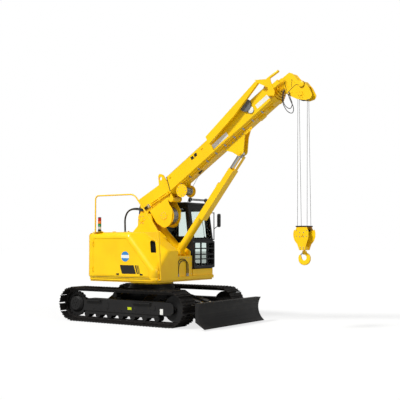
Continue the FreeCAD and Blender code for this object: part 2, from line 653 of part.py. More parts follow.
def engine_door():
    """Side door in the hood, as thick as the sheet with its inner frame."""
    return fused(slab(door_outline(RUN), "xz", -SIDE, -SIDE + SHEET), *side_hinges(0))


def hood_lid():
    x0, x1, y0, y1 = LID
    g = RUN
    lid = slab([(x0 + g, y0 + g, 36), (x1 - g, y0 + g, 36), (x1 - g, y1 - g, 36), (x0 + g, y1 - g, 36)], "xy",
               HOOD_TOP - SHEET, HOOD_TOP)
    return fused(lid, *lid_hinges(0))


def rear_hood():
    """Cover behind the boom foot plates and the cab."""
    top, front = HOOD_TOP - 20, CAB_REAR - 40
    side = SIDE - 4
    outer = fused(box(HOOD_REAR, front, -HOOD_INNER + RUN, side, DECK_TOP, top),
                  box(HOOD_REAR, front + 68, -HOOD_INNER + RUN, HOOD_INNER, DECK_TOP, top))
    inner = box(HOOD_REAR - 1, front - SHEET, -HOOD_INNER + RUN + SHEET, side - SHEET, DECK_TOP - 1, top - SHEET)
    return outer.cut(inner)


def engine_block():
    return box(HOOD_REAR + 270, HOOD_REAR + 1220, -SIDE + 135, -HOOD_INNER - 108, DECK_TOP, HOOD_TOP - 320)


# Cab
CAB_LOW = 1214.0
CAB_TOP = 2800.0
CAB_REAR = HOOD_REAR + 210
CAB_FRONT = 990.0
CAB_RIGHT = 292.0
CAB_LEFT = 1172.0
CAB_WALL = 48.0
WAIST = 1890.0


def cab_profile(inset):
    i = inset
    return [(CAB_REAR + i, CAB_LOW + i), (CAB_FRONT - i, CAB_LOW + i, 40), (CAB_FRONT - i, WAIST, 80),
            (CAB_FRONT - 140 - i, CAB_TOP - i, 130), (CAB_REAR + 40 + i, CAB_TOP - i, 120), (CAB_REAR + i, 2300, 60)]


DOOR_X = (-130.0, 860.0)
SIDE_PANE = [(-560, 1990, 60), (840, 1990, 60), (760, 2640, 90), (-530, 2640, 90)]
REAR_PANE = (430.0, 1040.0, 1990.0, 2620.0)
DOOR_SHAPE = [(-130, CAB_LOW + 40, 30), (900, CAB_LOW + 40, 60), (900, 1900, 60), (795, 2680, 110), (-130, 2680, 60)]


def cab_openings(gap):
    """Cutters for the fixed windows, drawn in by gap."""
    y0, y1 = CAB_RIGHT + 78, CAB_LEFT - 78
    front_low = [(y0, CAB_LOW + 90, 30), (y1, CAB_LOW + 90, 30), (y1, WAIST - 60, 30), (y0, WAIST - 60, 30)]
    front_high = [(y0, WAIST + 40, 40), (y1, WAIST + 40, 40), (y1, CAB_TOP - 190, 40), (y0, CAB_TOP - 190, 40)]
    rear = [(REAR_PANE[0], REAR_PANE[2], 40), (REAR_PANE[1], REAR_PANE[2], 40), (REAR_PANE[1], REAR_PANE[3], 40),
            (REAR_PANE[0], REAR_PANE[3], 40)]
    return {"right": slab(inset(SIDE_PANE, gap), "xz", CAB_RIGHT - 5, CAB_RIGHT + CAB_WALL + 5),
            "front_low": slab(inset(front_low, gap), "yz", CAB_FRONT - CAB_WALL - 5, CAB_FRONT + 5),
            "front_high": slab(inset(front_high, gap), "yz", CAB_FRONT - 260, CAB_FRONT + 5),
            "rear": slab(inset(rear, gap), "yz", CAB_REAR - 5, CAB_REAR + 110),
            "roof": slab(inset([(300, y0 + 40, 40), (620, y0 + 40, 40), (620, y1 - 40, 40), (300, y1 - 40, 40)],
                                    gap), "xy", CAB_TOP - CAB_WALL - 5, CAB_TOP + 5)}


def cab_hinges(part):
    return [hinge_halves(DOOR_SHAPE[0][0], CAB_LEFT, z, Vector(0, 0, 1), Vector(0, 1, 0), Vector(1, 0, 0))[part]
            for z in (1380.0, 2480.0)]


def cab_solid(inset_by):
    return slab(cab_profile(inset_by), "xz", CAB_RIGHT + inset_by, CAB_LEFT - inset_by)


def cab_shell():
    shell = cab_solid(0)
    sides = [e for e in shell.Edges if e.BoundBox.YMax - e.BoundBox.YMin < 0.01 and e.BoundBox.ZMax > 2300]
    shell = shell.makeFillet(34, sides)
    shell = shell.cut(slab(cab_profile(CAB_WALL), "xz", CAB_RIGHT + CAB_WALL, CAB_LEFT - CAB_WALL))
    for cutter in cab_openings(0).values():
        shell = shell.cut(cutter)
    shell = shell.cut(slab(DOOR_SHAPE, "xz", CAB_LEFT - CAB_WALL - 5, CAB_LEFT + 5))
    return fused(shell, *cab_hinges(1))


def cab_glass():
    """Fixed panes, each in the middle of its wall."""
    cutters = cab_openings(SEAT)
    middle, half = CAB_WALL / 2, 3.0
    skins = slab(cab_profile(middle - half), "xz", CAB_RIGHT + middle - half, CAB_LEFT - middle + half)
    skins = skins.cut(slab(cab_profile(middle + half), "xz", CAB_RIGHT + middle + half, CAB_LEFT - middle - half))
    panes = []
    for name, cutter in cutters.items():
        panes += [s for s in skins.common(cutter).Solids if s.Volume > 1000]
    return Part.makeCompound(panes)


DOOR_PANES = [[(-60, 1960, 30), (800, 1960, 30), (722, 2600, 60), (-60, 2600, 40)],
              [(80, 1330, 30), (800, 1330, 30), (800, 1840, 30), (80, 1840, 30)]]


def cab_door():
    door = slab(inset(DOOR_SHAPE, RUN), "xz", CAB_LEFT - CAB_WALL, CAB_LEFT)
    for pane in DOOR_PANES:
        door = door.cut(slab(pane, "xz", CAB_LEFT - CAB_WALL - 5, CAB_LEFT + 5))
    handle = box(740, 770, CAB_LEFT - 1, CAB_LEFT + 22, 1860, 1930)
    return fused(door, handle, *cab_hinges(0))


def door_glass():
    middle = CAB_LEFT - CAB_WALL / 2
    return Part.makeCompound([slab(inset(pane, SEAT), "xz", middle - 3, middle + 3) for pane in DOOR_PANES])


def cab_seat():
    y0, y1 = 500.0, 960.0
    base = box(-330, 90, y0 + 40, y1 - 40, CAB_LOW + CAB_WALL, 1480)
    cushion = slab([(-380, 1480, 30), (150, 1480, 40), (170, 1590, 50), (-380, 1580, 40)], "xz", y0, y1)
    back = slab([(-380, 1560, 30), (-270, 1560, 30), (-360, 2180, 50), (-470, 2180, 50)], "xz", y0 + 10, y1 - 10)
    head = slab([(-455, 2200, 30), (-365, 2200, 30), (-385, 2370, 40), (-465, 2370, 40)], "xz", y0 + 110, y1 - 110)
    post = box(-430, -400, 715, 745, 2150, 2260)
    return fused(base, cushion, back, post, head)


def cab_console():
    """Side consoles with levers, and the travel levers on the floor."""
    floor = CAB_LOW + CAB_WALL
    pieces = []
    for y in (CAB_RIGHT + 98, CAB_LEFT - 187):
        stand = box(-300, 230, y, y + 90, floor, 1640)
        stick = round_z(180, y + 45, 12, 1635, 1800)
        knob = round_z(180, y + 45, 24, 1790, 1840)
        pieces.append(fused(stand, stick, knob))
    for y in (640.0, 800.0):
        foot = box(600, 760, y - 45, y + 45, floor, floor + 40)
        pieces.append(fused(foot, rod((690, y, floor + 30), (565, y, floor + 520), 13)))
    return Part.makeCompound(pieces)


def cab_guard():
    """Tube grille in front of the lower windscreen."""
    x0, x1 = CAB_FRONT + SEAT, CAB_FRONT + 36
    y0, y1, z0, z1 = CAB_RIGHT + 8, CAB_LEFT - 8, 1236.0, 1880.0
    frame = slab([(y0, z0, 40), (y1, z0, 40), (y1, z1, 40), (y0, z1, 40)], "yz", x0, x1)
    frame = frame.cut(slab([(y0 + 44, z0 + 60, 24), (y1 - 44, z0 + 60, 24), (y1 - 44, z1 - 44, 24),
                            (y0 + 44, z1 - 44, 24)], "yz", x0 - 1, x1 + 1))
    bars = [box(x0, x1, y0 + 30, y1 - 30, z - 14, z + 14) for z in (1450, 1560, 1700)]
    posts = [box(x0, x1, y - 12, y + 12, z0 + 40, z1 - 30) for y in (y0 + 300, y0 + 560)]
    return fused(frame, *bars, *posts)


RAIL_Y = -1150.0


def handrails():
    """Bent pipe over the hood and down its front corner, on a foot plate that also holds the signal light."""
    z = HOOD_TOP + SEAT
    head = HOOD_TOP + 845
    ahead = HOOD_FRONT + 45
    inner = RAIL_Y + 90
    rear = HOOD_REAR + 120
    line = [(rear, RAIL_Y, z + 6), (rear, RAIL_Y, head), (395, RAIL_Y, head), (ahead, RAIL_Y, HOOD_TOP - 15),
            (ahead, inner, 1010), (HOOD_FRONT + SEAT, inner, 1010)]
    y0, y1 = RAIL_Y - 40, RAIL_Y + 100
    foot = slab([(rear - 60, y0, 12), (rear + 180, y0, 12), (rear + 180, y1, 12), (rear - 60, y1, 12)], "xy", z, z + 10)
    return fused(pipe(line, 17, (90, 250, 250, 24)), foot)


def signal_light():
    z = HOOD_TOP + SEAT + 10 + SEAT
    return turned_z([(0, z), (40, z), (40, z + 325), (28, z + 338), (0, z + 338)],
                    HOOD_REAR + 250, RAIL_Y)


def mirror():
    """Mirror on a bar at the cab's front left pillar."""
    y = CAB_LEFT - 56
    x = CAB_FRONT + 48
    low, high = WAIST + 20, 2560.0
    lean = 140 * (high - WAIST) / (CAB_TOP - WAIST)
    post = rod((x, y, low - 12), (x, y, high + 12), 12)
    feet = [rod((CAB_FRONT - 1, y, low), (x, y, low), 10), rod((CAB_FRONT - lean, y, high), (x, y, high), 10)]
    arm = rod((x, y, 2170), (x, y + 215, 2260), 9)
    head = slab([(y + 172, 2215, 45), (y + 272, 2215, 45), (y + 272, 2545, 45), (y + 172, 2545, 45)], "yz",
                x - 20, x + 20)
    return fused(post, *feet, arm, head).cut(cab_solid(-SEAT))


# Boom
def section_outline(number, drawn_in, plain=False):
    """A boom section across the boom, drawn in from its outer face, counted from 1 at the base."""
    edge = 16.0
    w, f = BOOM_WIDTH / 2, BOOM_FLOOR / 2
    points = [(-f, 0, edge), (f, 0, edge), (w, BOOM_SHOULDER, edge), (w, BOOM_HEIGHT, edge), (-w, BOOM_HEIGHT, edge),
              (-w, BOOM_SHOULDER, edge)]
    nested = inset([p[:2] for p in points], (SECTION_GAP + BOOM_WALL) * (number - 1) + drawn_in)
    return nested if plain else [p + (edge,) for p in nested]


def section_tube(number, start, end):
    outer = slab(section_outline(number, 0), "yz", start, end)
    return outer.cut(slab(section_outline(number, BOOM_WALL, True), "yz", start - 1, end + 1))


def collar(number, start, end, out):
    """Frame round the front end of a section."""
    ring = slab(section_outline(number, -out, True), "yz", start, end)
    return ring.cut(slab(section_outline(number, 4, True), "yz", start - 1, end + 1))


def foot_block():
    """The boom foot before it is hollowed."""
    half = FOOT_WIDTH / 2
    back_low, back_top = BASE_BACK
    points = [(-100, 20, 80), (-60, -60, 60), (90, -60, 60), (270, 70), (900, 18), (back_top - 12, 60),
              (back_top - 12, 330), (back_low + 27, 330), (863, 392, 30), (183, 463, 30), (104, 242)]
    body = slab(points, "xz", -half, half)
    return body.fuse(round_y(0, 0, 118, -half, half))


def boom_base():
    """Outer boom section with its foot, lifting eye, front collar and the bracket of the derrick cylinder."""
    back_low, back_top = BASE_BACK
    plate = 20.0
    tube = section_tube(1, back_low - 10, BASE_END)
    lean = [(back_low - 60, -10), (back_low - 3, -10), (back_top + 3, BOOM_HEIGHT + 10), (back_low - 60, BOOM_HEIGHT + 10)]
    tube = tube.cut(slab(lean, "xz", -BOOM_WIDTH, BOOM_WIDTH))
    back = slab([(back_low, 0), (back_low + plate, 0), (back_top + plate, BOOM_HEIGHT), (back_top, BOOM_HEIGHT)],
                "xz", -BOOM_WIDTH / 2, BOOM_WIDTH / 2)
    back = back.common(slab(section_outline(1, 1, True), "yz", back_low - 10, back_top + plate + 10))
    half = FOOT_WIDTH / 2
    foot = foot_block()
    hollow = slab([(240, 120, 60), (280, 420, 30), (840, 360, 30), (back_top, 296), (back_top, 90), (900, 60, 30)],
                  "xz", -half + 20, half - 20)
    foot = foot.cut(hollow).cut(round_y(0, 0, BOOM_PIN_RADIUS + PIN_GAP, -half - 1, half + 1))
    front = collar(1, BASE_END - 90, BASE_END, 12)
    lugs = []
    tip = EYE_RADIUS + 7
    for side in (-1, 1):
        y = side * (LUG_IN + LUG_THICK / 2)
        lugs.append(slab([(EYE_ALONG - 320, 2), (EYE_ALONG + 450, 2), (EYE_ALONG + 290, -120, 80),
                          (EYE_ALONG + tip, -EYE_BELOW - tip, tip), (EYE_ALONG - tip, -EYE_BELOW - tip, tip),
                          (EYE_ALONG - 150, -200, 80)], "xz", y - LUG_THICK / 2, y + LUG_THICK / 2))
        lugs.append(round_y(EYE_ALONG, -EYE_BELOW, 44, min(y, y + side * 24), max(y, y + side * 24)))
    x, z = LIFTING_EYE
    eye = slab([(x - 130, z - 110), (x - 20, z + 90, 30), (x + 45, z + 115, 40), (x + 105, z + 30, 50),
                (x + 115, z - 165)], "xz", EYE_PLATE_Y, EYE_PLATE_Y + EYE_PLATE)
    eye = eye.cut(round_y(x, z, EYE_BORE, EYE_PLATE_Y - 1, EYE_PLATE_Y + EYE_PLATE + 1))
    return fused(tube, back, foot, front, *lugs, eye)


def boom_section(number):
    """Inner section: tube with slide pads at its tail and a collar at its head."""
    start = BASE_BACK[1] + 32 + 34 * (number - 2)
    end = BASE_END + SECTION_STEP * (number - 1)
    inset_by = (SECTION_GAP + BOOM_WALL) * (number - 1)
    reach = SECTION_GAP - SEAT
    low, high, side = inset_by, BOOM_HEIGHT - inset_by, BOOM_WIDTH / 2 - inset_by
    middle = BOOM_HEIGHT / 2
    pads = []
    for y0, y1, z0, z1 in ((-60, 60, high - 2, high + reach), (-60, 60, low - reach, low + 2),
                           (side - 2, side + reach, middle - 50, middle + 50),
                           (-side - reach, 2 - side, middle - 50, middle + 50)):
        pads.append(box(start, start + 90, y0, y1, z0, z1))
    head = collar(number, end - SECTION_STEP + 16, end, 12)
    return fused(section_tube(number, start, end), *pads, head)


HEAD_HALF = 92.0


def boom_head():
    """Head plates past the last section, with cross plates, nose and sheave axle."""
    start = BASE_END + SECTION_STEP * 4 + SEAT
    ax, az = HEAD_AXLE
    half = HEAD_HALF
    side = [(start, 30), (start, 290, 20), (start + 60, 325, 40), (ax + 49, 313, 40), (ax + 97, 250, 50),
            (ax + 122, 20, 40), (ax + 202, -48, 30), (ax + 220, -240, 70), (ax + 197, -420, 60), (ax + 120, -470, 60),
            (ax, -418, 90), (ax - 131, -278, 90), (ax - 230, -101, 60)]
    plates = [slab(side, "xz", y, y + 16) for y in (-half - 16, half)]
    core = box(start, start + 120, -half, half, 120, 300)
    top = box(start + 60, ax + 40, -half, half, 294, 306)
    face = slab([(ax + 84, 250), (ax + 110, 20), (ax + 98, 20), (ax + 72, 250)], "xz", -half, half)
    axle = round_y(ax, az, 30, -half - 34, half + 34)
    tie = box(ax - 130, ax - 105, -half, half, -105, -45)
    nose = box(ax + 196, ax + 208, -half, half, -200, -80)
    return fused(*plates, core, top, face, axle, tie, nose)


def sheave(bore, y, x, z):
    """Rope sheave with a flat-floored groove."""
    groove = SHEAVE_RADIUS - ROPE_RADIUS - SEAT
    rim, floor = SHEAVE_RADIUS + 14.0, ROPE_RADIUS + 2
    return turned_y([(bore, -SHEAVE_HALF), (rim, -SHEAVE_HALF), (groove, -floor), (groove, floor), (rim, SHEAVE_HALF),
                     (bore, SHEAVE_HALF)], x, y, z)


def head_sheaves():
    ax, az = HEAD_AXLE
    return Part.makeCompound([sheave(30 + PIN_GAP, side * HEAD_SHEAVE_Y, ax, az) for side in (-1, 1)])


def winch_frame():
    """Two round-ended plates under the boom foot that carry the drum shaft, and a rope guide roller."""
    wx, wz = WINCH
    r = WINCH_FLANGE + 5
    low = WINCH_HALF + 3
    plates = []
    for y in (-low - 18, low):
        plates.append(slab([(290, 76), (900, 16), (wx + r, wz + 130, 60), (wx + r, wz - 60, 150), (wx + 60, wz - r, 200),
                            (wx - 150, wz - r, 180), (wx - r, wz - 20, 150)], "xz", y, y + 18))
    under = slab([(0, 148 - SEAT), (270, 70 - SEAT), (900, 18 - SEAT), (900, 900), (0, 900)], "xz", -FOOT_WIDTH, FOOT_WIDTH)
    plates = [p.cut(under) for p in plates]
    shaft = round_y(wx, wz, 34, -low, low)
    caps = [round_y(wx, wz, 96, y, y + 8) for y in (-low - 26, low + 18)]
    guide = round_y(965, -100, 62, -low, low)
    ears = [slab([(880, 14 - SEAT), (1040, 14 - SEAT), (1030, -150, 60), (900, -150, 60)], "xz", y, y + 18)
            for y in (-low - 18, low)]
    return fused(*plates, shaft, *caps, guide, *ears)


def winch_drum():
    wx, wz = WINCH
    f, w = WINCH_FLANGE, WINCH_HALF - RUN
    b = 34 + PIN_GAP
    profile = [(b, -w), (f, -w), (f, -w + 16), (205, -w + 16), (205, w - 16), (f, w - 16), (f, w), (b, w)]
    return turned_y(profile, wx, 0, wz)


def aux_winch():
    """Small drum unit ahead of the main winch, on its own bracket."""
    x, z = 1335.0, -125.0
    drum = turned_y([(0, -208), (150, -208), (150, -188), (86, -188), (86, 150), (140, 150), (140, 170), (0, 170)],
                    x, 0, z)
    plates = [slab([(x - 150, -SEAT), (x + 150, -SEAT), (x + 40, z - 40, 30), (x - 40, z - 40, 30)], "xz", y, y + 14)
              for y in (-100, 80)]
    return fused(drum, *plates)


def stowed_jib():
    """Fly jib folded along the boom's right side, held by a bracket near the head and one at its root."""
    y0, y1 = -330.0, -264.0
    side = -BOOM_WIDTH / 2 - SEAT
    beam = slab([(2600, 228), (3478, 329), (4345, 520), (4318, 595), (3815, 544), (2620, 420)], "xz", y0, y1)
    plate = slab([(4322, 628), (4541, 460), (4635, 431), (4600, 330), (4556, 102), (4491, 34), (4400, 120),
                  (4474, 282), (4346, 520)], "xz", y0, y0 + 26)
    tube = round_x(y0 + 30, 440, 30, 4560, 4870)
    tube.rotate(Vector(4600, 0, 440), Vector(0, 1, 0), 6)
    root = box(2640, 2760, y1 - 2, side, 262, 380)
    hold = box(BASE_END - 84, BASE_END - 10, y0 + 20, side - 12, 130, 240)
    slot_box = box(4560, 4740, y0 + 24, y0 + 90, 180, 280).cut(box(4600, 4741, y0 + 34, y0 + 80, 200, 260))
    arm = box(4470, 4570, y0 + 20, y0 + 60, 190, 270)
    return fused(beam, plate, tube, root, hold, arm, slot_box)


def cable_reel():
    """Hose reel beside the top of the boom, with its round cover below it."""
    y = -BOOM_WIDTH / 2 - SEAT
    reel = turned_y([(0, -4), (140, -4), (140, -14), (105, -14), (105, -30), (140, -30), (140, -40), (0, -40)],
                    3795, y, 372)
    cover = turned_y([(0, 0), (70, 0), (70, -20), (0, -26)], 3838, y, 205)
    post = slab([(3740, 180), (3850, 180), (3850, 400, 40), (3740, 400, 40)], "xz", y - 4, y)
    return fused(reel, post, cover)


def boom_pipes():
    """Hydraulic pipes along the boom foot's lower right edge."""
    y = -FOOT_WIDTH / 2 - SEAT
    start, end = Vector(380, y - 20, 132), Vector(1010, y - 20, 46)
    fall = (start.z - end.z) / (end.x - start.x)
    pieces = [rod(start + Vector(0, 0, up), end + Vector(0, 0, up), 16) for up in (0, 44)]
    clamps = []
    for x in (410, 680, 950):
        z = start.z - (x - start.x) * fall
        clamps.append(box(x, x + 36, y - 42, y, z - 24, z + 62))
    return fused(pieces[0], *pieces[1:], *clamps)


# Derrick cylinder, along +X from its foot pin
def derrick_length():
    return span(CYL_FOOT, boom_point(EYE_ALONG, -EYE_BELOW))


def on_cylinder(shape):
    return place(shape, CYL_FOOT, line_angle(CYL_FOOT, boom_point(EYE_ALONG, -EYE_BELOW)))


def derrick_barrel():
    half = FOOT_LUG_IN - RUN
    eye = round_y(0, 0, 78, -half, half)
    tube = round_x(0, 0, BARREL_RADIUS, 40, BARREL_LENGTH)
    gland = round_x(0, 0, BARREL_RADIUS + 7, BARREL_LENGTH - 90, BARREL_LENGTH)
    port = box(130, 190, -24, 24, BARREL_RADIUS - 10, BARREL_RADIUS + 26)
    solid = fused(eye, tube, gland, port)
    return solid.cut(round_x(0, 0, ROD_RADIUS + PIN_GAP, 180, BARREL_LENGTH + 1)).cut(
        round_y(0, 0, FOOT_PIN + PIN_GAP, -half - 1, half + 1))


def derrick_rod():
    length = derrick_length()
    half = LUG_IN - RUN
    shaft = round_x(0, 0, ROD_RADIUS, 960, length - 40)
    eye = round_y(length, 0, EYE_RADIUS, -half, half)
    foot = box(length - 90, length - 45, -half + 6, half - 6, GUARD_LOW + GUARD_SHEET, -20)
    return fused(shaft, eye, foot)


GUARD_START, GUARD_END = 1010.0, 420.0    # from the cylinder's foot, and short of the rod's eye
GUARD_HALF = LUG_IN + LUG_THICK + RUN + 9
GUARD_LOW = -BARREL_RADIUS - 30
GUARD_SHEET = 6.0


def rod_guard():
    """Channel along the front of the rod, held at the rod's end, that slides along the barrel."""
    end = derrick_length() - GUARD_END
    outer = box(GUARD_START, end, -GUARD_HALF, GUARD_HALF, GUARD_LOW, 14)
    inner = box(GUARD_START - 1, end + 1, -GUARD_HALF + GUARD_SHEET, GUARD_HALF - GUARD_SHEET,
                GUARD_LOW + GUARD_SHEET, 15)
    half = LUG_IN - RUN - 6
    tongue = box(end - 40, derrick_length() - 45, -half, half, GUARD_LOW, GUARD_LOW + GUARD_SHEET)
    return fused(outer.cut(inner), tongue)


# Hook
def hang_axis():
    return boom_point(*HEAD_AXLE)


def hoist_ropes():
    """Four falls from the head sheaves to the wider-set sheaves of the hook block."""
    ax, az = hang_axis()
    falls = []
    for x in (ax - SHEAVE_RADIUS, ax + SHEAVE_RADIUS):
        for side in (-1, 1):
            falls.append(rod((x, side * BLOCK_SHEAVE_Y, BLOCK_AXLE), (x, side * HEAD_SHEAVE_Y, az), ROPE_RADIUS))
    return Part.makeCompound(falls)


def hook_block():
    """Cheek plates outside the block sheaves, with the hook's cross head below and a top plate."""
    ax, _ = hang_axis()
    z, w, inner = BLOCK_AXLE, BLOCK_SIDE, BLOCK_CHEEK
    lid = 19.0
    side = [(ax - 60, BLOCK_LOW, 20), (ax + 60, BLOCK_LOW, 20), (ax + w, z - 60, 100), (ax + w, z + 70, 80),
            (ax + 118, BLOCK_TOP - lid), (ax - 118, BLOCK_TOP - lid), (ax - w, z + 70, 80), (ax - w, z - 60, 100)]
    plates = [slab(side, "xz", y, y + 8) for y in (-inner - 8, inner)]
    head = box(ax - 48, ax + 48, -inner, inner, BLOCK_LOW + 7, BLOCK_LOW + HEAD_BLOCK)
    axle = round_y(ax, z, 28, -inner - 26, inner + 26)
    top = slab([(ax - 135, -120), (ax + 135, -120), (ax + 135, 120), (ax - 135, 120)], "xy", BLOCK_TOP - lid, BLOCK_TOP)
    for x in (ax - SHEAVE_RADIUS, ax + SHEAVE_RADIUS):
        for side in (-1, 1):
            near, far = sorted((side * (HEAD_SHEAVE_Y + 44), side * (BLOCK_SHEAVE_Y + 10)))
            top = top.cut(box(x - 11, x + 11, near, far, BLOCK_TOP - lid - 1, BLOCK_TOP + 1))
    solid = fused(*plates, head, axle, top)
    return solid.cut(round_z(ax, 0, SHANK_RADIUS + PIN_GAP, BLOCK_LOW - 1, BLOCK_LOW + HEAD_BLOCK + 1))


def block_sheaves():
    ax, _ = hang_axis()
    return Part.makeCompound([sheave(28 + PIN_GAP, side * BLOCK_SHEAVE_Y, ax, BLOCK_AXLE) for side in (-1, 1)])


def hook():
    """Forged single hook with its shank and nut: one outline of arcs, cut to a narrower edge all round."""
    ax, _ = hang_axis()
    top = BLOCK_LOW + HEAD_BLOCK + SEAT
    z = HOOK_LOW
    run = Part.makePolygon([Vector(ax - 34, 0, z + 300), Vector(ax - 34, 0, z + 250), Vector(ax - 26, 0, z + 219)])
    seat = Part.Arc(Vector(ax - 26, 0, z + 219), Vector(ax + 57, 0, z + 155), Vector(ax - 66, 0, z + 147)).toShape()
    tip_in = Part.LineSegment(Vector(ax - 66, 0, z + 147), Vector(ax - 80, 0, z + 202)).toShape()
    tip = Part.Arc(Vector(ax - 80, 0, z + 202), Vector(ax - 100, 0, z + 217), Vector(ax - 122, 0, z + 192)).toShape()
    bowl = Part.Arc(Vector(ax - 122, 0, z + 192), Vector(ax + 8, 0, z), Vector(ax + 140, 0, z + 150)).toShape()
    back = Part.Arc(Vector(ax + 140, 0, z + 150), Vector(ax + 108, 0, z + 226), Vector(ax + 50, 0, z + 256)).toShape()
    neck = Part.makePolygon([Vector(ax + 50, 0, z + 256), Vector(ax + 34, 0, z + 300), Vector(ax - 34, 0, z + 300)])
    wire = Part.Wire(run.Edges + [seat, tip_in, tip, bowl, back] + neck.Edges)
    half = 29.0
    body = Part.Face(wire).extrude(Vector(0, 2 * half, 0))
    body.translate(Vector(0, -half, 0))
    rims = [e for e in body.Edges if e.BoundBox.YMax - e.BoundBox.YMin < 0.01 and e.BoundBox.ZMax < z + 290]
    body = body.makeChamfer(11, rims)
    shank = round_z(ax, 0, SHANK_RADIUS, z + 290, top + 10)
    nut = round_z(ax, 0, 38, top, top + 36)
    return fused(body, shank, nut)


def build():
    made = {}
    made["car_body"] = car_body()
    made["slew_race"] = slew_race()
    made["track_frames"] = both_sides(track_frame)
    left = track()
    made["track_left"] = left
    made["track_right"] = left.mirror(Vector(0, 0, 0), Vector(0, 1, 0))
    made["sprockets"] = both_sides(sprocket)
    made["idlers"] = both_sides(idler)
    made["rollers"] = both_sides(rollers)
    made["blade"] = blade()
    made["blade_cylinder_barrels"] = cylinder_pair(blade_barrel)
    made["blade_cylinder_rods"] = cylinder_pair(blade_rod)
    made["turntable"] = turntable()
    made["counterweight"] = counterweight()
    made["engine_hood"] = engine_hood()
    made["engine_door"] = engine_door()
    made["hood_lid"] = hood_lid()
    made["rear_hood"] = rear_hood()
    made["engine_block"] = engine_block()
    made["cab_shell"] = cab_shell()
    made["cab_glass"] = cab_glass()
    made["cab_door"] = cab_door()
    made["door_glass"] = door_glass()
    made["cab_seat"] = cab_seat()
    made["cab_console"] = cab_console()
    made["cab_guard"] = cab_guard()
    made["handrails"] = handrails()
    made["signal_light"] = signal_light()
    made["mirror"] = mirror()
    made["boom_base"] = on_boom(boom_base())
    for number in (2, 3, 4, 5):
        made["boom_section_%d" % number] = on_boom(boom_section(number))
    made["boom_head"] = on_boom(boom_head())
    made["head_sheaves"] = on_boom(head_sheaves())
    made["winch_frame"] = on_boom(winch_frame())
    made["winch_drum"] = on_boom(winch_drum())
    made["aux_winch"] = on_boom(aux_winch())
    made["stowed_jib"] = on_boom(stowed_jib())
    made["cable_reel"] = on_boom(cable_reel())
    made["boom_pipes"] = on_boom(boom_pipes())
    made["derrick_barrel"] = on_cylinder(derrick_barrel())
    made["derrick_rod"] = on_cylinder(derrick_rod())
    made["rod_guard"] = on_cylinder(rod_guard())
    made["hoist_ropes"] = hoist_ropes()
    made["hook_block"] = hook_block()
    made["block_sheaves"] = block_sheaves()
    made["hook"] = hook()
    return made


def main():
    os.makedirs("parts", exist_ok=True)
    for name, shape in build().items():
        solids = shape.Solids
        bad = [s for s in solids if not s.isValid() or s.Volume <= 0]
        print("%-24s %3d solids %10.0f cm3 %4d faces %s" % (
            name, len(solids), shape.Volume / 1000, len(shape.Faces), "BAD" if bad else ""))
        kept = solids[0] if len(solids) == 1 else Part.makeCompound(solids)
        kept.exportStep("parts/%s.step" % name)


main()
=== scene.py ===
# %% Load the frame
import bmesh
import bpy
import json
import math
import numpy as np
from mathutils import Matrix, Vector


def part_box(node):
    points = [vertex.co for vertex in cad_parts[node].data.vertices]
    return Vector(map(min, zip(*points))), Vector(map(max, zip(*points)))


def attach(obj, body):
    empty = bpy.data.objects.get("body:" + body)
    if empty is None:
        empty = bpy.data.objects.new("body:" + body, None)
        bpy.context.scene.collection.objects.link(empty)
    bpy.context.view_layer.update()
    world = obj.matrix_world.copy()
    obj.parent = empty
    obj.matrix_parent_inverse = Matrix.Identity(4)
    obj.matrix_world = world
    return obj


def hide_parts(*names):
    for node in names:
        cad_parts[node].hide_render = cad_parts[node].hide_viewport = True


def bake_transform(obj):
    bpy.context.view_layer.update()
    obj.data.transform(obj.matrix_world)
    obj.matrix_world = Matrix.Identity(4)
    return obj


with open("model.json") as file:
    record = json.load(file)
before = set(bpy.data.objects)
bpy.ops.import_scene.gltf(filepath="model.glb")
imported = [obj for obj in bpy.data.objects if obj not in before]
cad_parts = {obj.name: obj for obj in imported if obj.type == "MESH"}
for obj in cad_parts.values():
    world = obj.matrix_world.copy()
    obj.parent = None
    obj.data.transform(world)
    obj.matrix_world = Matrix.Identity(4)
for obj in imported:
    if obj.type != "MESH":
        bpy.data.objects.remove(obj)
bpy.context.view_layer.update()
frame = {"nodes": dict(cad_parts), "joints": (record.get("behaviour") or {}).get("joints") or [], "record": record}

# %% [markdown]
# # A compact crawler crane, dressed on its CAD frame
# The frame holds every rigid piece at its real place: tracks, slewing upper body, cab, five nested boom
# sections, cylinder, ropes and hook block. This lesson gives those pieces their finishes, and adds what a
# solid model leaves out: laid rope, hoses, bolts, seals, lamps, the driver's seat and the fittings at the
# boom head. All sizes are real ones, given in millimetres and turned to metres once.

MM = 0.001
NODES = frame["nodes"]
JOINT = {j["name"]: j for j in frame["joints"]}
SLOT_OF = {s["node"]: s["material_slot"] for s in frame["record"]["subparts"]}


def linear(colour):
    """Linear RGBA of an sRGB hex colour: each channel c is c/12.92 when dark, else ((c + 0.055)/1.055)^2.4."""
    parts = [int(colour[i:i + 2], 16) / 255 for i in (1, 3, 5)]
    return [c / 12.92 if c <= 0.04045 else ((c + 0.055) / 1.055) ** 2.4 for c in parts] + [1.0]


def node(tree, kind, inputs=(), **settings):
    """Add one shader node: settings are its own values, and inputs are numbers, colours or sockets to link.

    A node given as an input stands for its first output in use.
    """
    made = tree.nodes.new("ShaderNode" + kind)
    for key, value in settings.items():
        setattr(made, key, value)
    for key, value in dict(inputs).items():
        if isinstance(value, bpy.types.Node):
            value = next(socket for socket in value.outputs if socket.enabled)
        if isinstance(value, bpy.types.NodeSocket):
            tree.links.new(value, made.inputs[key])
        else:
            made.inputs[key].default_value = value
    return made


# %% [markdown]
# ## Camera and studio
# The photograph was taken from the crane's right front, from about a person's height and 18 m away, with a
# short telephoto view. The place below was found by fitting the tracks, the hood and the boom to it. A long
# lens keeps the boom from looking bent toward the camera.

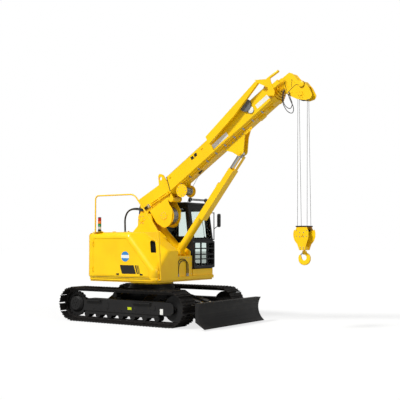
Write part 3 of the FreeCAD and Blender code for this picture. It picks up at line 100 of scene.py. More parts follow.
# %% Camera
CAMERA_PLACE = (11.55, -14.68, 1.88)
CAMERA_TURN, CAMERA_TILT = math.radians(34.67), math.radians(3.0)
FOCAL_PIXELS, FRAME_PIXELS, SENSOR = 778.35, 400.0, 36.0

camera_data = bpy.data.cameras.new("camera")
camera_data.sensor_width = SENSOR
camera_data.lens = FOCAL_PIXELS / FRAME_PIXELS * SENSOR
camera_data.clip_start, camera_data.clip_end = 0.5, 400.0
camera = bpy.data.objects.new("camera", camera_data)
camera.location = CAMERA_PLACE
camera.rotation_euler = (math.pi / 2 + CAMERA_TILT, 0.0, CAMERA_TURN)
bpy.context.scene.collection.objects.link(camera)
bpy.context.scene.camera = camera
print("lens", round(camera_data.lens, 2), "mm")

# %% [markdown]
# The floor is a white disc. It mixes a matte face, which takes the machine's shadow, with a glow that only
# camera rays see. It is greyer to other rays, so that it doesn't light the underside too much.

# %% Floor
FLOOR_RADIUS, FLOOR_SIDES = 120.0, 96             # metres
FLOOR_GLOW = 0.75                                 # share of the floor's look that no shadow darkens

turns = np.linspace(0, 2 * math.pi, FLOOR_SIDES, endpoint=False)
rim = np.stack([FLOOR_RADIUS * np.cos(turns), FLOOR_RADIUS * np.sin(turns), 0 * turns], 1)
floor_mesh = bpy.data.meshes.new("floor")
floor_mesh.from_pydata(rim.tolist(), [], [list(range(FLOOR_SIDES))])
floor = bpy.data.objects.new("floor", floor_mesh)
floor.location.z = -0.001
bpy.context.scene.collection.objects.link(floor)

floor_paint = bpy.data.materials.new("white_studio_floor")
floor_paint.use_nodes = True
tree = floor_paint.node_tree
tree.nodes.clear()
ray = node(tree, "LightPath")
tone = node(tree, "Mix", {0: ray.outputs["Is Camera Ray"], 6: linear("#b4b4b2"), 7: linear("#f6f6f4")},
            data_type="RGBA")
matte = node(tree, "BsdfDiffuse", {"Color": tone})
glow = node(tree, "Emission", {"Color": (1, 1, 1, 1), "Strength": 1.0})
seen = node(tree, "Math", {0: ray.outputs["Is Camera Ray"], 1: FLOOR_GLOW}, operation="MULTIPLY")
mixed = node(tree, "MixShader", {0: seen, 1: matte, 2: glow})
node(tree, "OutputMaterial", {"Surface": mixed})
floor_mesh.materials.append(floor_paint)
print("floor:", FLOOR_RADIUS, "m from its middle to its rim")

# %% [markdown]
# The world is white where the camera looks, also through glass, and dimmer as a source of light. One broad key
# lamp stands behind the camera's left shoulder, as in the photograph, where the hood's side is bright and its
# front corner is in shade. A weak fill keeps the front faces readable.

# %% World and lamps
WORLD_LIGHT = 0.3
LAMPS = (("key", 3.3, -22, 46, 12), ("fill", 0.75, 75, 20, 40))     # strength, turn, height and spread in degrees

world = bpy.data.worlds.new("studio")
bpy.context.scene.world = world
world.use_nodes = True
tree = world.node_tree
tree.nodes.clear()
ray = node(tree, "LightPath")
sight = node(tree, "Math", {0: ray.outputs["Is Camera Ray"], 1: ray.outputs["Is Transmission Ray"]},
             operation="MAXIMUM")
strength = node(tree, "MapRange", {0: sight, 3: WORLD_LIGHT, 4: 1.0})
sky = node(tree, "Background", {"Color": (1, 1, 1, 1), "Strength": strength})
node(tree, "OutputWorld", {"Surface": sky})

for name, power, turn, height, spread in LAMPS:
    lamp_data = bpy.data.lights.new(name, "SUN")
    lamp_data.energy = power
    lamp_data.angle = math.radians(spread)
    lamp = bpy.data.objects.new(name, lamp_data)
    lamp.rotation_euler = (math.radians(90 - height), 0, math.radians(turn))
    bpy.context.scene.collection.objects.link(lamp)
bpy.context.scene.view_settings.view_transform = "Standard"
print("lamps:", len(LAMPS))

# %% [markdown]
# ## Finishes
# Each finish starts from what the real one is. One helper below opens a material with Object coordinates for
# its patterns, and the other closes it with a Principled shader, once its patterns are made.

# %% Start and end of a finish
def opened(name):
    """A new empty material, its node tree, and Object coordinates in metres for its patterns."""
    made = bpy.data.materials.new(name)
    made.use_nodes = True
    made.node_tree.nodes.clear()
    return made, made.node_tree, node(made.node_tree, "TexCoord").outputs["Object"]


def closed(made, inputs):
    """Give the material its Principled shader, with these inputs, and its output."""
    shader = node(made.node_tree, "BsdfPrincipled", inputs)
    node(made.node_tree, "OutputMaterial", {"Surface": shader})
    return made


def spots(size):
    """Noise scale whose spots are about size millimetres across: one over the size in metres."""
    return 1 / (size * MM)


print("spots 9 mm across need scale", round(spots(9), 1))

# %% [markdown]
# ### Sprayed enamel on plate
# Construction machines are sprayed with two-pack enamel over primer. It is glossy, with a faint orange peel
# a few millimetres across, and slightly darker where rain and hands leave a film. Dust lies on faces that
# look up, and more on the lower pieces. The orange peel is drawn 9 mm wide so that it shows.

# %% Enamels
def enamel(name, colour, film, dust, dusty, rough, coat, peel=0.05):
    """Wide noise turns the colour to its film; upward slope times fine noise turns it to dust, up to dusty."""
    made, tree, place = opened(name)
    wide = node(tree, "TexNoise", {"Vector": place, "Scale": spots(420), "Detail": 5.0})
    washed = node(tree, "MapRange", {0: wide, 1: 0.38, 2: 0.72})
    body = node(tree, "Mix", {0: washed, 6: linear(colour), 7: linear(film)}, data_type="RGBA")
    slope = node(tree, "SeparateXYZ", {0: node(tree, "NewGeometry").outputs["Normal"]}).outputs["Z"]
    upward = node(tree, "MapRange", {0: slope, 1: 0.55, 2: 1.0, 4: dusty})
    fine = node(tree, "TexNoise", {"Vector": place, "Scale": spots(45), "Detail": 8.0})
    specks = node(tree, "MapRange", {0: fine, 1: 0.4, 2: 0.75})
    lie = node(tree, "Math", {0: upward, 1: specks}, operation="MULTIPLY")
    dusted = node(tree, "Mix", {0: lie, 6: body, 7: linear(dust)}, data_type="RGBA")
    cloud = node(tree, "TexNoise", {"Vector": place, "Scale": spots(160), "Detail": 3.0})
    sheen = node(tree, "MapRange", {0: cloud, 3: rough - 0.04, 4: rough + 0.12})
    skin = node(tree, "TexNoise", {"Vector": place, "Scale": spots(9), "Detail": 2.0})
    bump = node(tree, "Bump", {"Strength": peel, "Distance": 0.5 * MM, "Height": skin})
    return closed(made, {"Base Color": dusted, "Roughness": sheen, "Normal": bump, "Specular IOR Level": 0.35,
                         "Coat Weight": coat, "Coat Roughness": 0.1})


yellow_enamel = enamel("yellow_sprayed_enamel", "#ffcf00", "#fcc500", "#e3bb4a", 0.2, 0.34, 0.2, 0.04)
black_enamel = enamel("black_satin_enamel", "#131314", "#1b1b1c", "#4d4a45", 0.3, 0.42, 0.15, 0.09)
chassis_enamel = enamel("black_chassis_enamel", "#0f0e0f", "#181716", "#4a443c", 0.5, 0.5, 0.1, 0.12)
grey_enamel = enamel("grey_machinery_enamel", "#6d6f71", "#5f6062", "#8a857b", 0.4, 0.38, 0.3)
print("enamels: yellow, black, chassis black and grey")

# %% [markdown]
# ### Bare and coated metals
# Track shoes are rolled steel that turns brown-black in use, with mill scale in patches and rust in spots, so
# it is only half metallic. Its pitting is drawn 12 mm wide.

# %% Rolled and cast steel
def rolled_steel(name, colour, scale_colour, rust, rough):
    """Wide noise turns the colour to mill scale, and fine noise turns that to rust, up to 0.7."""
    made, tree, place = opened(name)
    wide = node(tree, "TexNoise", {"Vector": place, "Scale": spots(90), "Detail": 6.0})
    patch = node(tree, "MapRange", {0: wide, 1: 0.35, 2: 0.7})
    scaled = node(tree, "Mix", {0: patch, 6: linear(colour), 7: linear(scale_colour)}, data_type="RGBA")
    fine = node(tree, "TexNoise", {"Vector": place, "Scale": spots(24), "Detail": 8.0})
    rusted = node(tree, "MapRange", {0: fine, 1: 0.55, 2: 0.75, 4: 0.7})
    rusty = node(tree, "Mix", {0: rusted, 6: scaled, 7: linear(rust)}, data_type="RGBA")
    pits = node(tree, "TexNoise", {"Vector": place, "Scale": spots(12), "Detail": 6.0})
    bump = node(tree, "Bump", {"Strength": 0.35, "Distance": 1.0 * MM, "Height": pits})
    return closed(made, {"Base Color": rusty, "Roughness": rough, "Normal": bump, "Metallic": 0.55})


track_steel = rolled_steel("rolled_track_steel", "#2a2725", "#141313", "#3c3129", 0.5)
cast_steel = rolled_steel("cast_steel_rollers", "#2b2a2a", "#1b1b1b", "#3e352d", 0.55)
print("steels:", track_steel.name, cast_steel.name)

# %% [markdown]
# A cylinder rod is ground and hard-chromed, with rings about 1.4 mm apart left by the grinding. The rope is
# drawn and galvanised wire, darker where its grease holds dirt. Bolts and fittings are zinc-plated, with a
# cloudy sheen.

# %% Chrome, rope wire and zinc
made, tree, place = opened("hard_chromed_rod")
rings = node(tree, "TexNoise", {"Vector": place, "Scale": 700.0, "Detail": 2.0})
bump = node(tree, "Bump", {"Strength": 0.04, "Distance": 0.1 * MM, "Height": rings})
chrome = closed(made, {"Base Color": linear("#d9dbde"), "Roughness": 0.1, "Metallic": 1.0, "Normal": bump})

made, tree, place = opened("galvanised_rope_wire")
smears = node(tree, "TexNoise", {"Vector": place, "Scale": spots(60), "Detail": 4.0})
grease = node(tree, "MapRange", {0: smears, 1: 0.45, 2: 0.7})
coated = node(tree, "Mix", {0: grease, 6: linear("#9a9c9e"), 7: linear("#5c5a55")}, data_type="RGBA")
rope_wire = closed(made, {"Base Color": coated, "Roughness": 0.38, "Metallic": 0.85})

made, tree, place = opened("zinc_plated_fittings")
cloud = node(tree, "TexNoise", {"Vector": place, "Scale": spots(14), "Detail": 4.0})
sheen = node(tree, "MapRange", {0: cloud, 3: 0.26, 4: 0.46})
zinc = closed(made, {"Base Color": linear("#b9bcbd"), "Roughness": sheen, "Metallic": 0.9})
print("metals:", chrome.name, rope_wire.name, zinc.name)

# %% [markdown]
# ### Glass, rubber and plastics
# Cab panes are tinted laminated glass. Its IOR is 1.1 and not 1.52, because a thin pane hardly bends what is
# seen through it. Hoses are black synthetic rubber with the mark of the cloth that they were cured in, drawn
# 14 mm wide.

# %% Glass and rubber
made, tree, place = opened("tinted_laminated_glass")
film = node(tree, "TexNoise", {"Vector": place, "Scale": spots(240), "Detail": 4.0})
misted = node(tree, "MapRange", {0: film, 1: 0.4, 2: 0.8, 3: 0.0, 4: 0.03})
glass = closed(made, {"Base Color": linear("#eaf2ef"), "Roughness": misted, "IOR": 1.1, "Transmission Weight": 1.0})

made, tree, place = opened("black_hose_rubber")
weave = node(tree, "TexWave", {"Vector": place, "Scale": spots(14), "Distortion": 1.5})
bump = node(tree, "Bump", {"Strength": 0.15, "Distance": 0.4 * MM, "Height": weave.outputs["Fac"]})
bloom = node(tree, "TexNoise", {"Vector": place, "Scale": spots(50), "Detail": 3.0})
tone = node(tree, "Mix", {0: bloom, 6: linear("#101010"), 7: linear("#1f1e1d")}, data_type="RGBA")
rubber = closed(made, {"Base Color": tone, "Roughness": 0.55, "Normal": bump})
print("made", glass.name, "and", rubber.name)

# %% [markdown]
# Levers, lamp bodies and the mirror are moulded plastic with a fine leather skin, drawn 3 mm wide. The lamps
# let some light through. Labels are printed film, which is smoother and has the same uneven tone.

# %% Plastics and films
def moulded(name, colour, second, rough, clear=0.0):
    """Wide noise mixes two tones, fine noise raises a pebbled skin, and clear is the share of light let through."""
    made, tree, place = opened(name)
    wide = node(tree, "TexNoise", {"Vector": place, "Scale": spots(70), "Detail": 3.0})
    tone = node(tree, "Mix", {0: wide, 6: linear(colour), 7: linear(second)}, data_type="RGBA")
    pebbles = node(tree, "TexNoise", {"Vector": place, "Scale": spots(3), "Detail": 1.0})
    bump = node(tree, "Bump", {"Strength": 0.12, "Distance": 0.3 * MM, "Height": pebbles})
    return closed(made, {"Base Color": tone, "Roughness": rough, "Normal": bump, "IOR": 1.46,
                         "Transmission Weight": clear})


black_plastic = moulded("black_moulded_plastic", "#151516", "#1d1d1e", 0.5)
lamp_red = moulded("red_lamp_plastic", "#c3170c", "#d92a14", 0.2, 0.15)
lamp_orange = moulded("orange_lamp_plastic", "#ff7a00", "#ff8f1a", 0.2, 0.15)
lamp_green = moulded("green_lamp_plastic", "#128a3c", "#1c9c48", 0.2, 0.15)
lamp_clear = moulded("clear_lamp_plastic", "#e8e6da", "#f4f2e8", 0.15, 0.4)
lens = moulded("headlamp_lens", "#dfe5e6", "#f0f3f3", 0.1, 0.5)
white_label = moulded("white_label_film", "#f1f1ec", "#e4e4de", 0.35)
blue_label = moulded("blue_label_film", "#2f7fc2", "#3b8ccd", 0.3)
green_label = moulded("yellow_green_label_film", "#c7d417", "#b9c60f", 0.3)
dark_label = moulded("dark_label_film", "#1b1a17", "#26241f", 0.35)
print("plastics and films: 10")

# %% [markdown]
# ### Cab fabric
# The seat cover is a woven polyester twill with threads about 1.2 mm apart, drawn 4 mm apart so that the
# weave shows. Two wave patterns at right angles give warp and weft.

# %% Woven seat cloth
THREAD = 4.0
THREAD_SCALE = 0.5 / (THREAD * MM) / 3.14         # bands of one thread each in the wave pattern

made, tree, place = opened("woven_polyester_seat_cloth")
warp = node(tree, "TexWave", {"Vector": place, "Scale": THREAD_SCALE}, bands_direction="Y").outputs["Fac"]
weft = node(tree, "TexWave", {"Vector": place, "Scale": THREAD_SCALE}, bands_direction="Z").outputs["Fac"]
crossed = node(tree, "Math", {0: warp, 1: weft}, operation="MULTIPLY")
tone = node(tree, "Mix", {0: crossed, 6: linear("#191a1c"), 7: linear("#3a3c40")}, data_type="RGBA")
bump = node(tree, "Bump", {"Strength": 0.4, "Distance": 0.6 * MM, "Height": crossed})
seat_cloth = closed(made, {"Base Color": tone, "Roughness": 0.85, "Sheen Weight": 0.3, "Normal": bump})
print("cloth:", seat_cloth.name)

# %% [markdown]
# The CAD nodes keep their shapes and get their finish by the record's slot names. Plate edges are never
# knife-sharp: a small bevel is cut round them, as grinding and paint leave them. The imported mesh is loose
# triangles, so they are welded first, inside the modifier stack.

# %% Finishes on the CAD nodes
FINISH_OF_SLOT = {
    "paint_yellow": yellow_enamel, "paint_black": black_enamel, "paint_grey": grey_enamel,
    "paint_white": grey_enamel, "track_steel": track_steel, "steel": cast_steel, "chrome_rod": chrome,
    "glass": glass, "trim_plastic": black_plastic, "signal_plastic": lamp_clear, "fabric_grey": seat_cloth,
}
CHASSIS = ("car_body", "track_frames", "sprockets", "idlers", "rollers", "blade", "blade_cylinder_barrels")
BEVEL = {  # width in mm: the pieces whose edges it is cut round
    2: ("cable_reel", "rod_guard", "hook_block"),
    3: ("aux_winch", "derrick_barrel", "winch_drum"),
    4: ("engine_hood", "engine_door", "hood_lid", "boom_section_2", "boom_section_3", "boom_section_4",
        "boom_section_5", "boom_head", "winch_frame", "stowed_jib", "cab_door"),
    5: ("boom_base", "blade", "cab_shell", "cab_console"),
    6: ("turntable", "rear_hood", "car_body", "track_frames"),
    8: ("counterweight",),
}
SHARP = math.radians(32)


def soften(solid, width):
    """Weld the loose triangles, then cut a small bevel along the edges sharper than SHARP."""
    solid.modifiers.new("weld", "WELD").merge_threshold = 0.02 * MM
    bevel = solid.modifiers.new("ground edges", "BEVEL")
    bevel.width, bevel.segments = width * MM, 2
    bevel.limit_method, bevel.angle_limit = "ANGLE", SHARP
    bevel.harden_normals = True


for name, solid in NODES.items():
    solid.data.materials.clear()
    solid.data.materials.append(chassis_enamel if name in CHASSIS else FINISH_OF_SLOT[SLOT_OF[name]])
for width, names in BEVEL.items():
    for name in names:
        soften(NODES[name], width)
print("finishes on", len(NODES), "nodes,", sum(map(len, BEVEL.values())), "with ground edges")

# %% [markdown]
# ## Building pieces from arrays
# Every new piece is a surface computed with numpy: a ring of points carried along a path, a profile turned
# round an axis, or an outline raised as a plate. All are tubes of rings with a cap at each end. A form is a
# pair, its points in millimetres and its faces as arrays of point numbers, so that many small forms can be
# joined into one mesh before Blender sees them.

# %% Faces and directions
def tube_faces(rings, count):
    """Quads from (i, j) to (i, j + 1), (i + 1, j + 1) and (i + 1, j), wrapping round each ring; then two caps."""
    i, j = np.meshgrid(np.arange(rings - 1), np.arange(count), indexing="ij")
    m = (j + 1) % count
    quads = np.stack([i * count + j, i * count + m, (i + 1) * count + m, (i + 1) * count + j], -1).reshape(-1, 4)
    caps = np.stack([np.arange(count)[::-1], (rings - 1) * count + np.arange(count)])
    return [quads, caps]


def unit(vectors):
    """Vectors of the same directions and of length 1."""
    vectors = np.asarray(vectors, float)
    return vectors / np.linalg.norm(vectors, axis=-1, keepdims=True)


def square_axes(axis):
    """Two unit vectors square to an axis and to each other, for rings around it."""
    axis = unit(axis)
    helper = np.array([0, 0, 1.0]) if abs(axis[2]) < 0.9 else np.array([1.0, 0, 0])
    side = unit(np.cross(helper, axis))
    return side, np.cross(axis, side)


print("tube of 3 rings of 8 points:", sum(map(len, tube_faces(3, 8))), "faces")


# %% Turned and carried forms
def turned(profile, centre, axis, sides):
    """Profile of (along, radius) turned round an axis: centre + along*axis + radius*(cos t, sin t)."""
    profile = np.asarray(profile, float)
    a, b = square_axes(axis)
    t = np.linspace(0, 2 * np.pi, sides, endpoint=False)
    ring = np.cos(t)[:, None] * a + np.sin(t)[:, None] * b
    points = np.asarray(centre) + profile[:, None, :1] * unit(axis) + profile[:, None, 1:] * ring
    return points.reshape(-1, 3), tube_faces(len(profile), sides)


def carried(path, ring, up=(0, 1, 0), twist=None):
    """A closed ring of (side, up) points carried along a path, squared to its direction, and turned by twist."""
    path, ring = np.asarray(path, float), np.asarray(ring, float)
    along = unit(np.gradient(path, axis=0))
    side = unit(np.cross(along, np.asarray(up, float)))
    over = np.cross(side, along)
    turn = np.zeros(len(path)) if twist is None else np.asarray(twist)
    c, s = np.cos(turn)[:, None, None], np.sin(turn)[:, None, None]
    x = ring[None, :, :1] * c - ring[None, :, 1:] * s
    y = ring[None, :, :1] * s + ring[None, :, 1:] * c
    points = path[:, None] + x * side[:, None] + y * over[:, None]
    return points.reshape(-1, 3), tube_faces(len(path), len(ring))


def circle(radius, sides):
    """Ring of points radius*(cos t, sin t)."""
    t = np.linspace(0, 2 * np.pi, sides, endpoint=False)
    return np.stack([radius * np.cos(t), radius * np.sin(t)], 1)


def curve(points, steps):
    """Smooth line through given points: the Catmull-Rom cubic, sampled evenly between each pair."""
    p = np.asarray(points, float)
    p = np.vstack([2 * p[0] - p[1], p, 2 * p[-1] - p[-2]])
    t = np.linspace(0, 1, steps, endpoint=False)[None, :, None]
    a, b, c, d = (p[k:len(p) - 3 + k, None] for k in range(4))
    square, cube = 2 * a - 5 * b + 4 * c - d, 3 * b - a - 3 * c + d
    line = 0.5 * (2 * b + (c - a) * t + square * t ** 2 + cube * t ** 3)
    return np.vstack([line.reshape(-1, p.shape[1]), p[-2]])


# %% [markdown]
# Sheet and machined parts are plates with eased edges, and boxes are plates of four corners. A bolt is a
# hexagon head on a washer.

# %% Plates, boxes and bolts
def plate(outline, origin, u, v, thick, ease=1.5):
    """Flat plate: an outline in the axes u and v, raised by thick along u x v, with eased edges."""
    flat = np.asarray(outline, float)
    u, v, origin = unit(u), unit(v), np.asarray(origin, float)
    up = np.cross(u, v)
    middle = flat.mean(0)
    shrunk = middle + (flat - middle) * (1 - ease / max(np.abs(flat - middle).max(), 1e-6))
    ease = min(ease, abs(thick) / 3) * np.sign(thick)
    rings = [(shrunk, 0), (flat, ease), (flat, thick - ease), (shrunk, thick)]
    points = np.vstack([origin + r[:, :1] * u + r[:, 1:] * v + h * up for r, h in rings])
    return points, tube_faces(4, len(flat))


def block(centre, size, u=(1, 0, 0), v=(0, 1, 0), ease=3.0):
    """Box with eased edges: size is its length along u, v and u x v."""
    x, y = size[0] / 2, size[1] / 2
    up = np.cross(unit(u), unit(v))
    return plate([(-x, -y), (x, -y), (x, y), (-x, y)], np.asarray(centre) - up * size[2] / 2, u, v, size[2], ease)


def joined(forms):
    """Several forms as one: points stacked, and each form's point numbers moved past those before it."""
    points, faces, count = [], [], 0
    for p, f in forms:
        points.append(p)
        faces += [some + count for some in f]
        count += len(p)
    return np.vstack(points), faces


def hex_bolt(spot, axis, across):
    """Hexagon head on its washer: the head's sides are 0.6 of its width high, with a chamfered top."""
    washer = turned([(0, across * 0.62), (across * 0.12, across * 0.62)], spot, axis, 14)
    head = turned([(across * 0.1, across * 0.5), (across * 0.55, across * 0.5), (across * 0.63, across * 0.4)],
                  spot, axis, 6)
    return joined([washer, head])


print("bolt:", len(hex_bolt((0, 0, 0), (0, 0, 1), 20)[0]), "points")

# %% [markdown]
# A piece is kept in shape at its sharp edges: where two faces meet at more than its smooth angle, the shading
# breaks.

# %% Pieces
def corners_of(mesh):
    """Places of the mesh's points, one row each."""
    places = np.empty(len(mesh.vertices) * 3)
    mesh.vertices.foreach_get("co", places)
    return places.reshape(-1, 3)


def outwards(mesh):
    """Turn each closed shell of the mesh so that its faces point outwards."""
    work = bmesh.new()
    work.from_mesh(mesh)
    bmesh.ops.recalc_face_normals(work, faces=work.faces)
    work.to_mesh(mesh)
    work.free()


def piece(name, forms, material, body, smooth=35.0):
    """Make one object of the forms, point its faces outwards, shade it, and let it ride on its body."""
    points, faces = joined(forms)
    faces = [face for some in faces for face in some.tolist()]
    mesh = bpy.data.meshes.new(name)
    mesh.from_pydata((points * MM).tolist(), [], faces)
    made = bpy.data.objects.new(name, mesh)
    bpy.context.scene.collection.objects.link(made)
    outwards(mesh)
    mesh.shade_smooth()
    mesh.set_sharp_from_angle(angle=math.radians(smooth))
    mesh.materials.append(material)
    if body:
        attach(made, body)
    print(f"{name}: {len(faces)} faces of {material.name}")
    return made


# %% [markdown]
# The boom's own axes turn with it, so its fittings are placed by s along the boom, n across it and y to the
# left, from the foot pin. Both directions are read from the frame's joints.

# %% Boom axes
BOOM_FOOT = np.array(JOINT["boom_derrick"]["pos_m"]) / MM
ALONG = unit(JOINT["tele_2"]["axis"])
ACROSS = np.array([-ALONG[2], 0.0, ALONG[0]])
SIDEWAYS = np.array([0.0, 1.0, 0.0])


def boom(s, n, y=0.0):
    """Point on the boom in millimetres of the frame: foot + s*along + n*across + y to the left."""
    return BOOM_FOOT + s * ALONG + n * ACROSS + y * SIDEWAYS


HANG = np.array(JOINT["head_sheave_spin"]["pos_m"]) / MM
BLOCK = np.array(JOINT["block_sheave_spin"]["pos_m"]) / MM
print("boom at", round(math.degrees(math.asin(ALONG[2])), 2), "degrees")

# %% [markdown]
# ## Wire rope
# A hoist rope has six strands laid round a core. Its cross-section is a ring with six bumps, and the lay is
# that ring turned as it is carried along the rope, once in about seven diameters. The falls hang straight
# from the head sheaves to the wider-set block sheaves.

# %% Laid rope
ROPE_RADIUS, STRANDS, LAY, STEP = 5.0, 6, 70.0, 9.0
SHEAVE_RADIUS = 112.0
SHEAVE_AT, BLOCK_AT = 31.0, 90.0                  # sheaves beside the middle, at the head and in the block


def laid(path, up=(0, 1, 0)):
    """Rope along a path: a ring of radius*(0.9 + 0.1*|cos 3t|), turned by 2 pi for each lay of length."""
    t = np.linspace(0, 2 * np.pi, 3 * STRANDS, endpoint=False)
    r = ROPE_RADIUS * (0.9 + 0.1 * np.abs(np.cos(STRANDS * t / 2)))
    run = np.concatenate([[0], np.cumsum(np.linalg.norm(np.diff(path, axis=0), axis=1))])
    return carried(path, np.stack([r * np.cos(t), r * np.sin(t)], 1), up, 2 * np.pi * run / LAY)


def straight(start, end):
    """Even points along a line, about STEP apart."""
    return np.linspace(start, end, max(2, int(np.linalg.norm(np.subtract(end, start)) / STEP)))


# %% Four falls
falls = []
for x in (-SHEAVE_RADIUS, SHEAVE_RADIUS):
    for side in (-1, 1):
        top = HANG + (x, side * SHEAVE_AT, 0)
        foot = np.array((top[0], side * BLOCK_AT, BLOCK[2]))
        falls.append(laid(straight(top, foot)))
rope_falls = piece("rope_falls", falls, rope_wire, None, 60)
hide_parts("hoist_ropes")
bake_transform(rope_falls)
print("falls:", len(falls), "of", round(HANG[2] - BLOCK[2]), "mm")


# %% Rope round the sheaves
def half_turn(centre, y, upper):
    """Rope over or under a sheave: centre + R*(cos t, sin t) for t across the half turn."""
    t = np.linspace(0, math.pi, 60) * (1 if upper else -1)
    return centre + np.stack([SHEAVE_RADIUS * np.cos(t), np.full_like(t, y), SHEAVE_RADIUS * np.sin(t)], 1)


over_head = [laid(half_turn(HANG, side * SHEAVE_AT, True)) for side in (-1, 1)]
piece("rope_over_head_sheaves", over_head, rope_wire, "falls", 60)
under_block = [laid(half_turn(BLOCK, side * BLOCK_AT, False)) for side in (-1, 1)]
piece("rope_under_block_sheaves", under_block, rope_wire, "hook_block", 60)

# %% [markdown]
# On the drums the rope lies in a close helix, one rope diameter further along for each turn. Seen from the
# side it is a row of round ridges, so the winding is a turned profile with one arch for each rope.

# %% Rope wound on the drums
def winding(centre, radius, half_width):
    """Turned profile radius + r*sqrt(1 - d^2), where d runs from -1 to 1 across each turn of rope."""
    pitch = 2 * ROPE_RADIUS
    turns = int(2 * half_width / pitch)
    d = np.linspace(-1, 1, 7)[:-1]
    arch = ROPE_RADIUS * np.sqrt(1 - d ** 2)
    along = (np.arange(turns)[:, None] * pitch + (d + 1) * pitch / 2).ravel() - turns * pitch / 2
    return turned(np.stack([along, radius + np.tile(arch, turns)], 1), centre, SIDEWAYS, 64)


DRUM = np.array(JOINT["winch_drum_spin"]["pos_m"]) / MM
DRUM_CORE, DRUM_HALF, SMALL_DRUM = 206.0, 126.0, 87.0
piece("rope_on_main_drum", [winding(DRUM, DRUM_CORE, DRUM_HALF)], rope_wire, "winch_drum", 80)
AUX = boom(1335, -125)
piece("rope_on_small_drum", [winding(AUX + (0, -20, 0), SMALL_DRUM, 150)], rope_wire, "boom", 80)

# %% [markdown]
# The hoist rope leaves its drum for a guide roller, along the line that touches both, and enters the boom
# through a slotted plate between two pins. The small drum's rope goes in further up.

# %% Rope leads and fairleads
GUIDE, GUIDE_RADIUS = boom(965, -100), 62.0
gap = GUIDE - DRUM
reach = np.linalg.norm(gap[[0, 2]])
heading = math.atan2(gap[2], gap[0]) + math.acos((DRUM_CORE - GUIDE_RADIUS) / reach)
out = np.array([math.cos(heading), 0, math.sin(heading)])
leave = DRUM + out * (DRUM_CORE + ROPE_RADIUS)
touch = GUIDE + out * (GUIDE_RADIUS + ROPE_RADIUS)
slot_in = boom(1235, -9, 12)
lead = np.vstack([straight(leave, touch), straight(touch, slot_in)[1:]])
small_lead = straight(AUX + ACROSS * -SMALL_DRUM + ALONG * 20, boom(1900, -10, -20))
piece("rope_leads", [laid(lead, up=(0, 1, 0.01)), laid(small_lead)], rope_wire, "boom", 60)
fairleads = []
for s, y in ((1262, 12), (1912, -20)):            # along and beside the boom
    fairleads.append(block(boom(s, -4, y), (120, 70, 8), ALONG, SIDEWAYS))
    for side in (-1, 1):
        fairleads.append(turned([(-22, 9), (22, 9)], boom(s - 30, -14, y + side * 14), ACROSS, 14))
piece("rope_fairleads", fairleads, cast_steel, "boom")

# %% [markdown]
# ## Bolts
# Bolted joints are what tells a viewer the size of a machine. Heads sit in rows and circles. A row is given by
# its first and last place, the number of bolts, the way they face and their width across flats.

# %% Bolt rows and circles
def bolt_row(first, last, count, axis, across):
    """Heads at even steps from the first place to the last."""
    return [hex_bolt(p, axis, across) for p in np.linspace(first, last, count)]


def bolt_circle(centre, axis, radius, count, across, start=0.0):
    """Heads at centre + radius*(cos t, sin t), for t in even steps round the axis."""
    a, b = square_axes(axis)
    t = start + 2 * np.pi * np.arange(count) / count
    return [hex_bolt(np.asarray(centre) + radius * (math.cos(k) * a + math.sin(k) * b), axis, across) for k in t]


RIGHT, LEFT, FRONT, UP = (0, -1, 0), (0, 1, 0), (1, 0, 0), (0, 0, 1)
SIDES = (-1, RIGHT), (1, LEFT)                    # sign of y, and the way that a bolt there faces


def bottom_of(name):
    """Lowest corner of a node's box, in millimetres."""
    return np.array(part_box(name)[0]) / MM


def top_of(name):
    """Highest corner of a node's box, in millimetres."""
    return np.array(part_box(name)[1]) / MM


# %% Boom bolts
SCREW, SCREW_RING = [(0, 9), (2.5, 7.5)], 76.0    # flush screws of the drum's bearings, on their circle
frame_low, frame_high = bottom_of("winch_frame"), top_of("winch_frame")
t = np.linspace(0, 2 * np.pi, 8, endpoint=False)
ring = SCREW_RING * np.stack([np.cos(t), 0 * t, np.sin(t)], 1) + DRUM * (1, 0, 1)
on_boom = [turned(SCREW, spot + (0, y, 0), axis, 12)
           for y, axis in ((frame_low[1], RIGHT), (frame_high[1], LEFT)) for spot in ring]
on_boom += bolt_circle(boom(1335, -125, -208), RIGHT, 112, 8, 16)
for side, axis in SIDES:
    on_boom += bolt_row(boom(2800, -30, side * 94), boom(3330, -30, side * 94), 6, axis, 22)
    on_boom += bolt_row(boom(4380, 100, side * 222), boom(4380, 370, side * 222), 3, axis, 18)
on_boom += bolt_row(boom(4400, 412, -150), boom(4400, 412, 150), 4, ACROSS, 18)
piece("boom_bolts", on_boom, zinc, "boom", 30)

# %% [markdown]
# ## Engine hood and counterweight
# The hood is pressed sheet. An oval air intake sits in its sloping front corner, with upright slats behind a
# rubber rim. An oval is two half circles, stretched a little, set apart by a straight part.

# %% Intake, rim and slats
CREASE = unit((0.59996, -0.57962, 0.55144))       # the sloping corner faces this way
LEVEL = unit((math.cos(math.radians(46)), math.sin(math.radians(46)), 0))
STEEP = unit(np.cross(CREASE, LEVEL))
INTAKE = np.array([737.0, -900.0, 1730.0])
INTAKE_HALF, INTAKE_TALL = 62.0, 198.0            # half its width and half its height
INTAKE_END = INTAKE_HALF * 1.2


def intake_point(x, t, depth=0.0):
    """Point in the sloping face: middle + x*level + t*steep - depth*normal."""
    return INTAKE + np.multiply.outer(x, LEVEL) + np.multiply.outer(t, STEEP) - np.asarray(depth) * CREASE


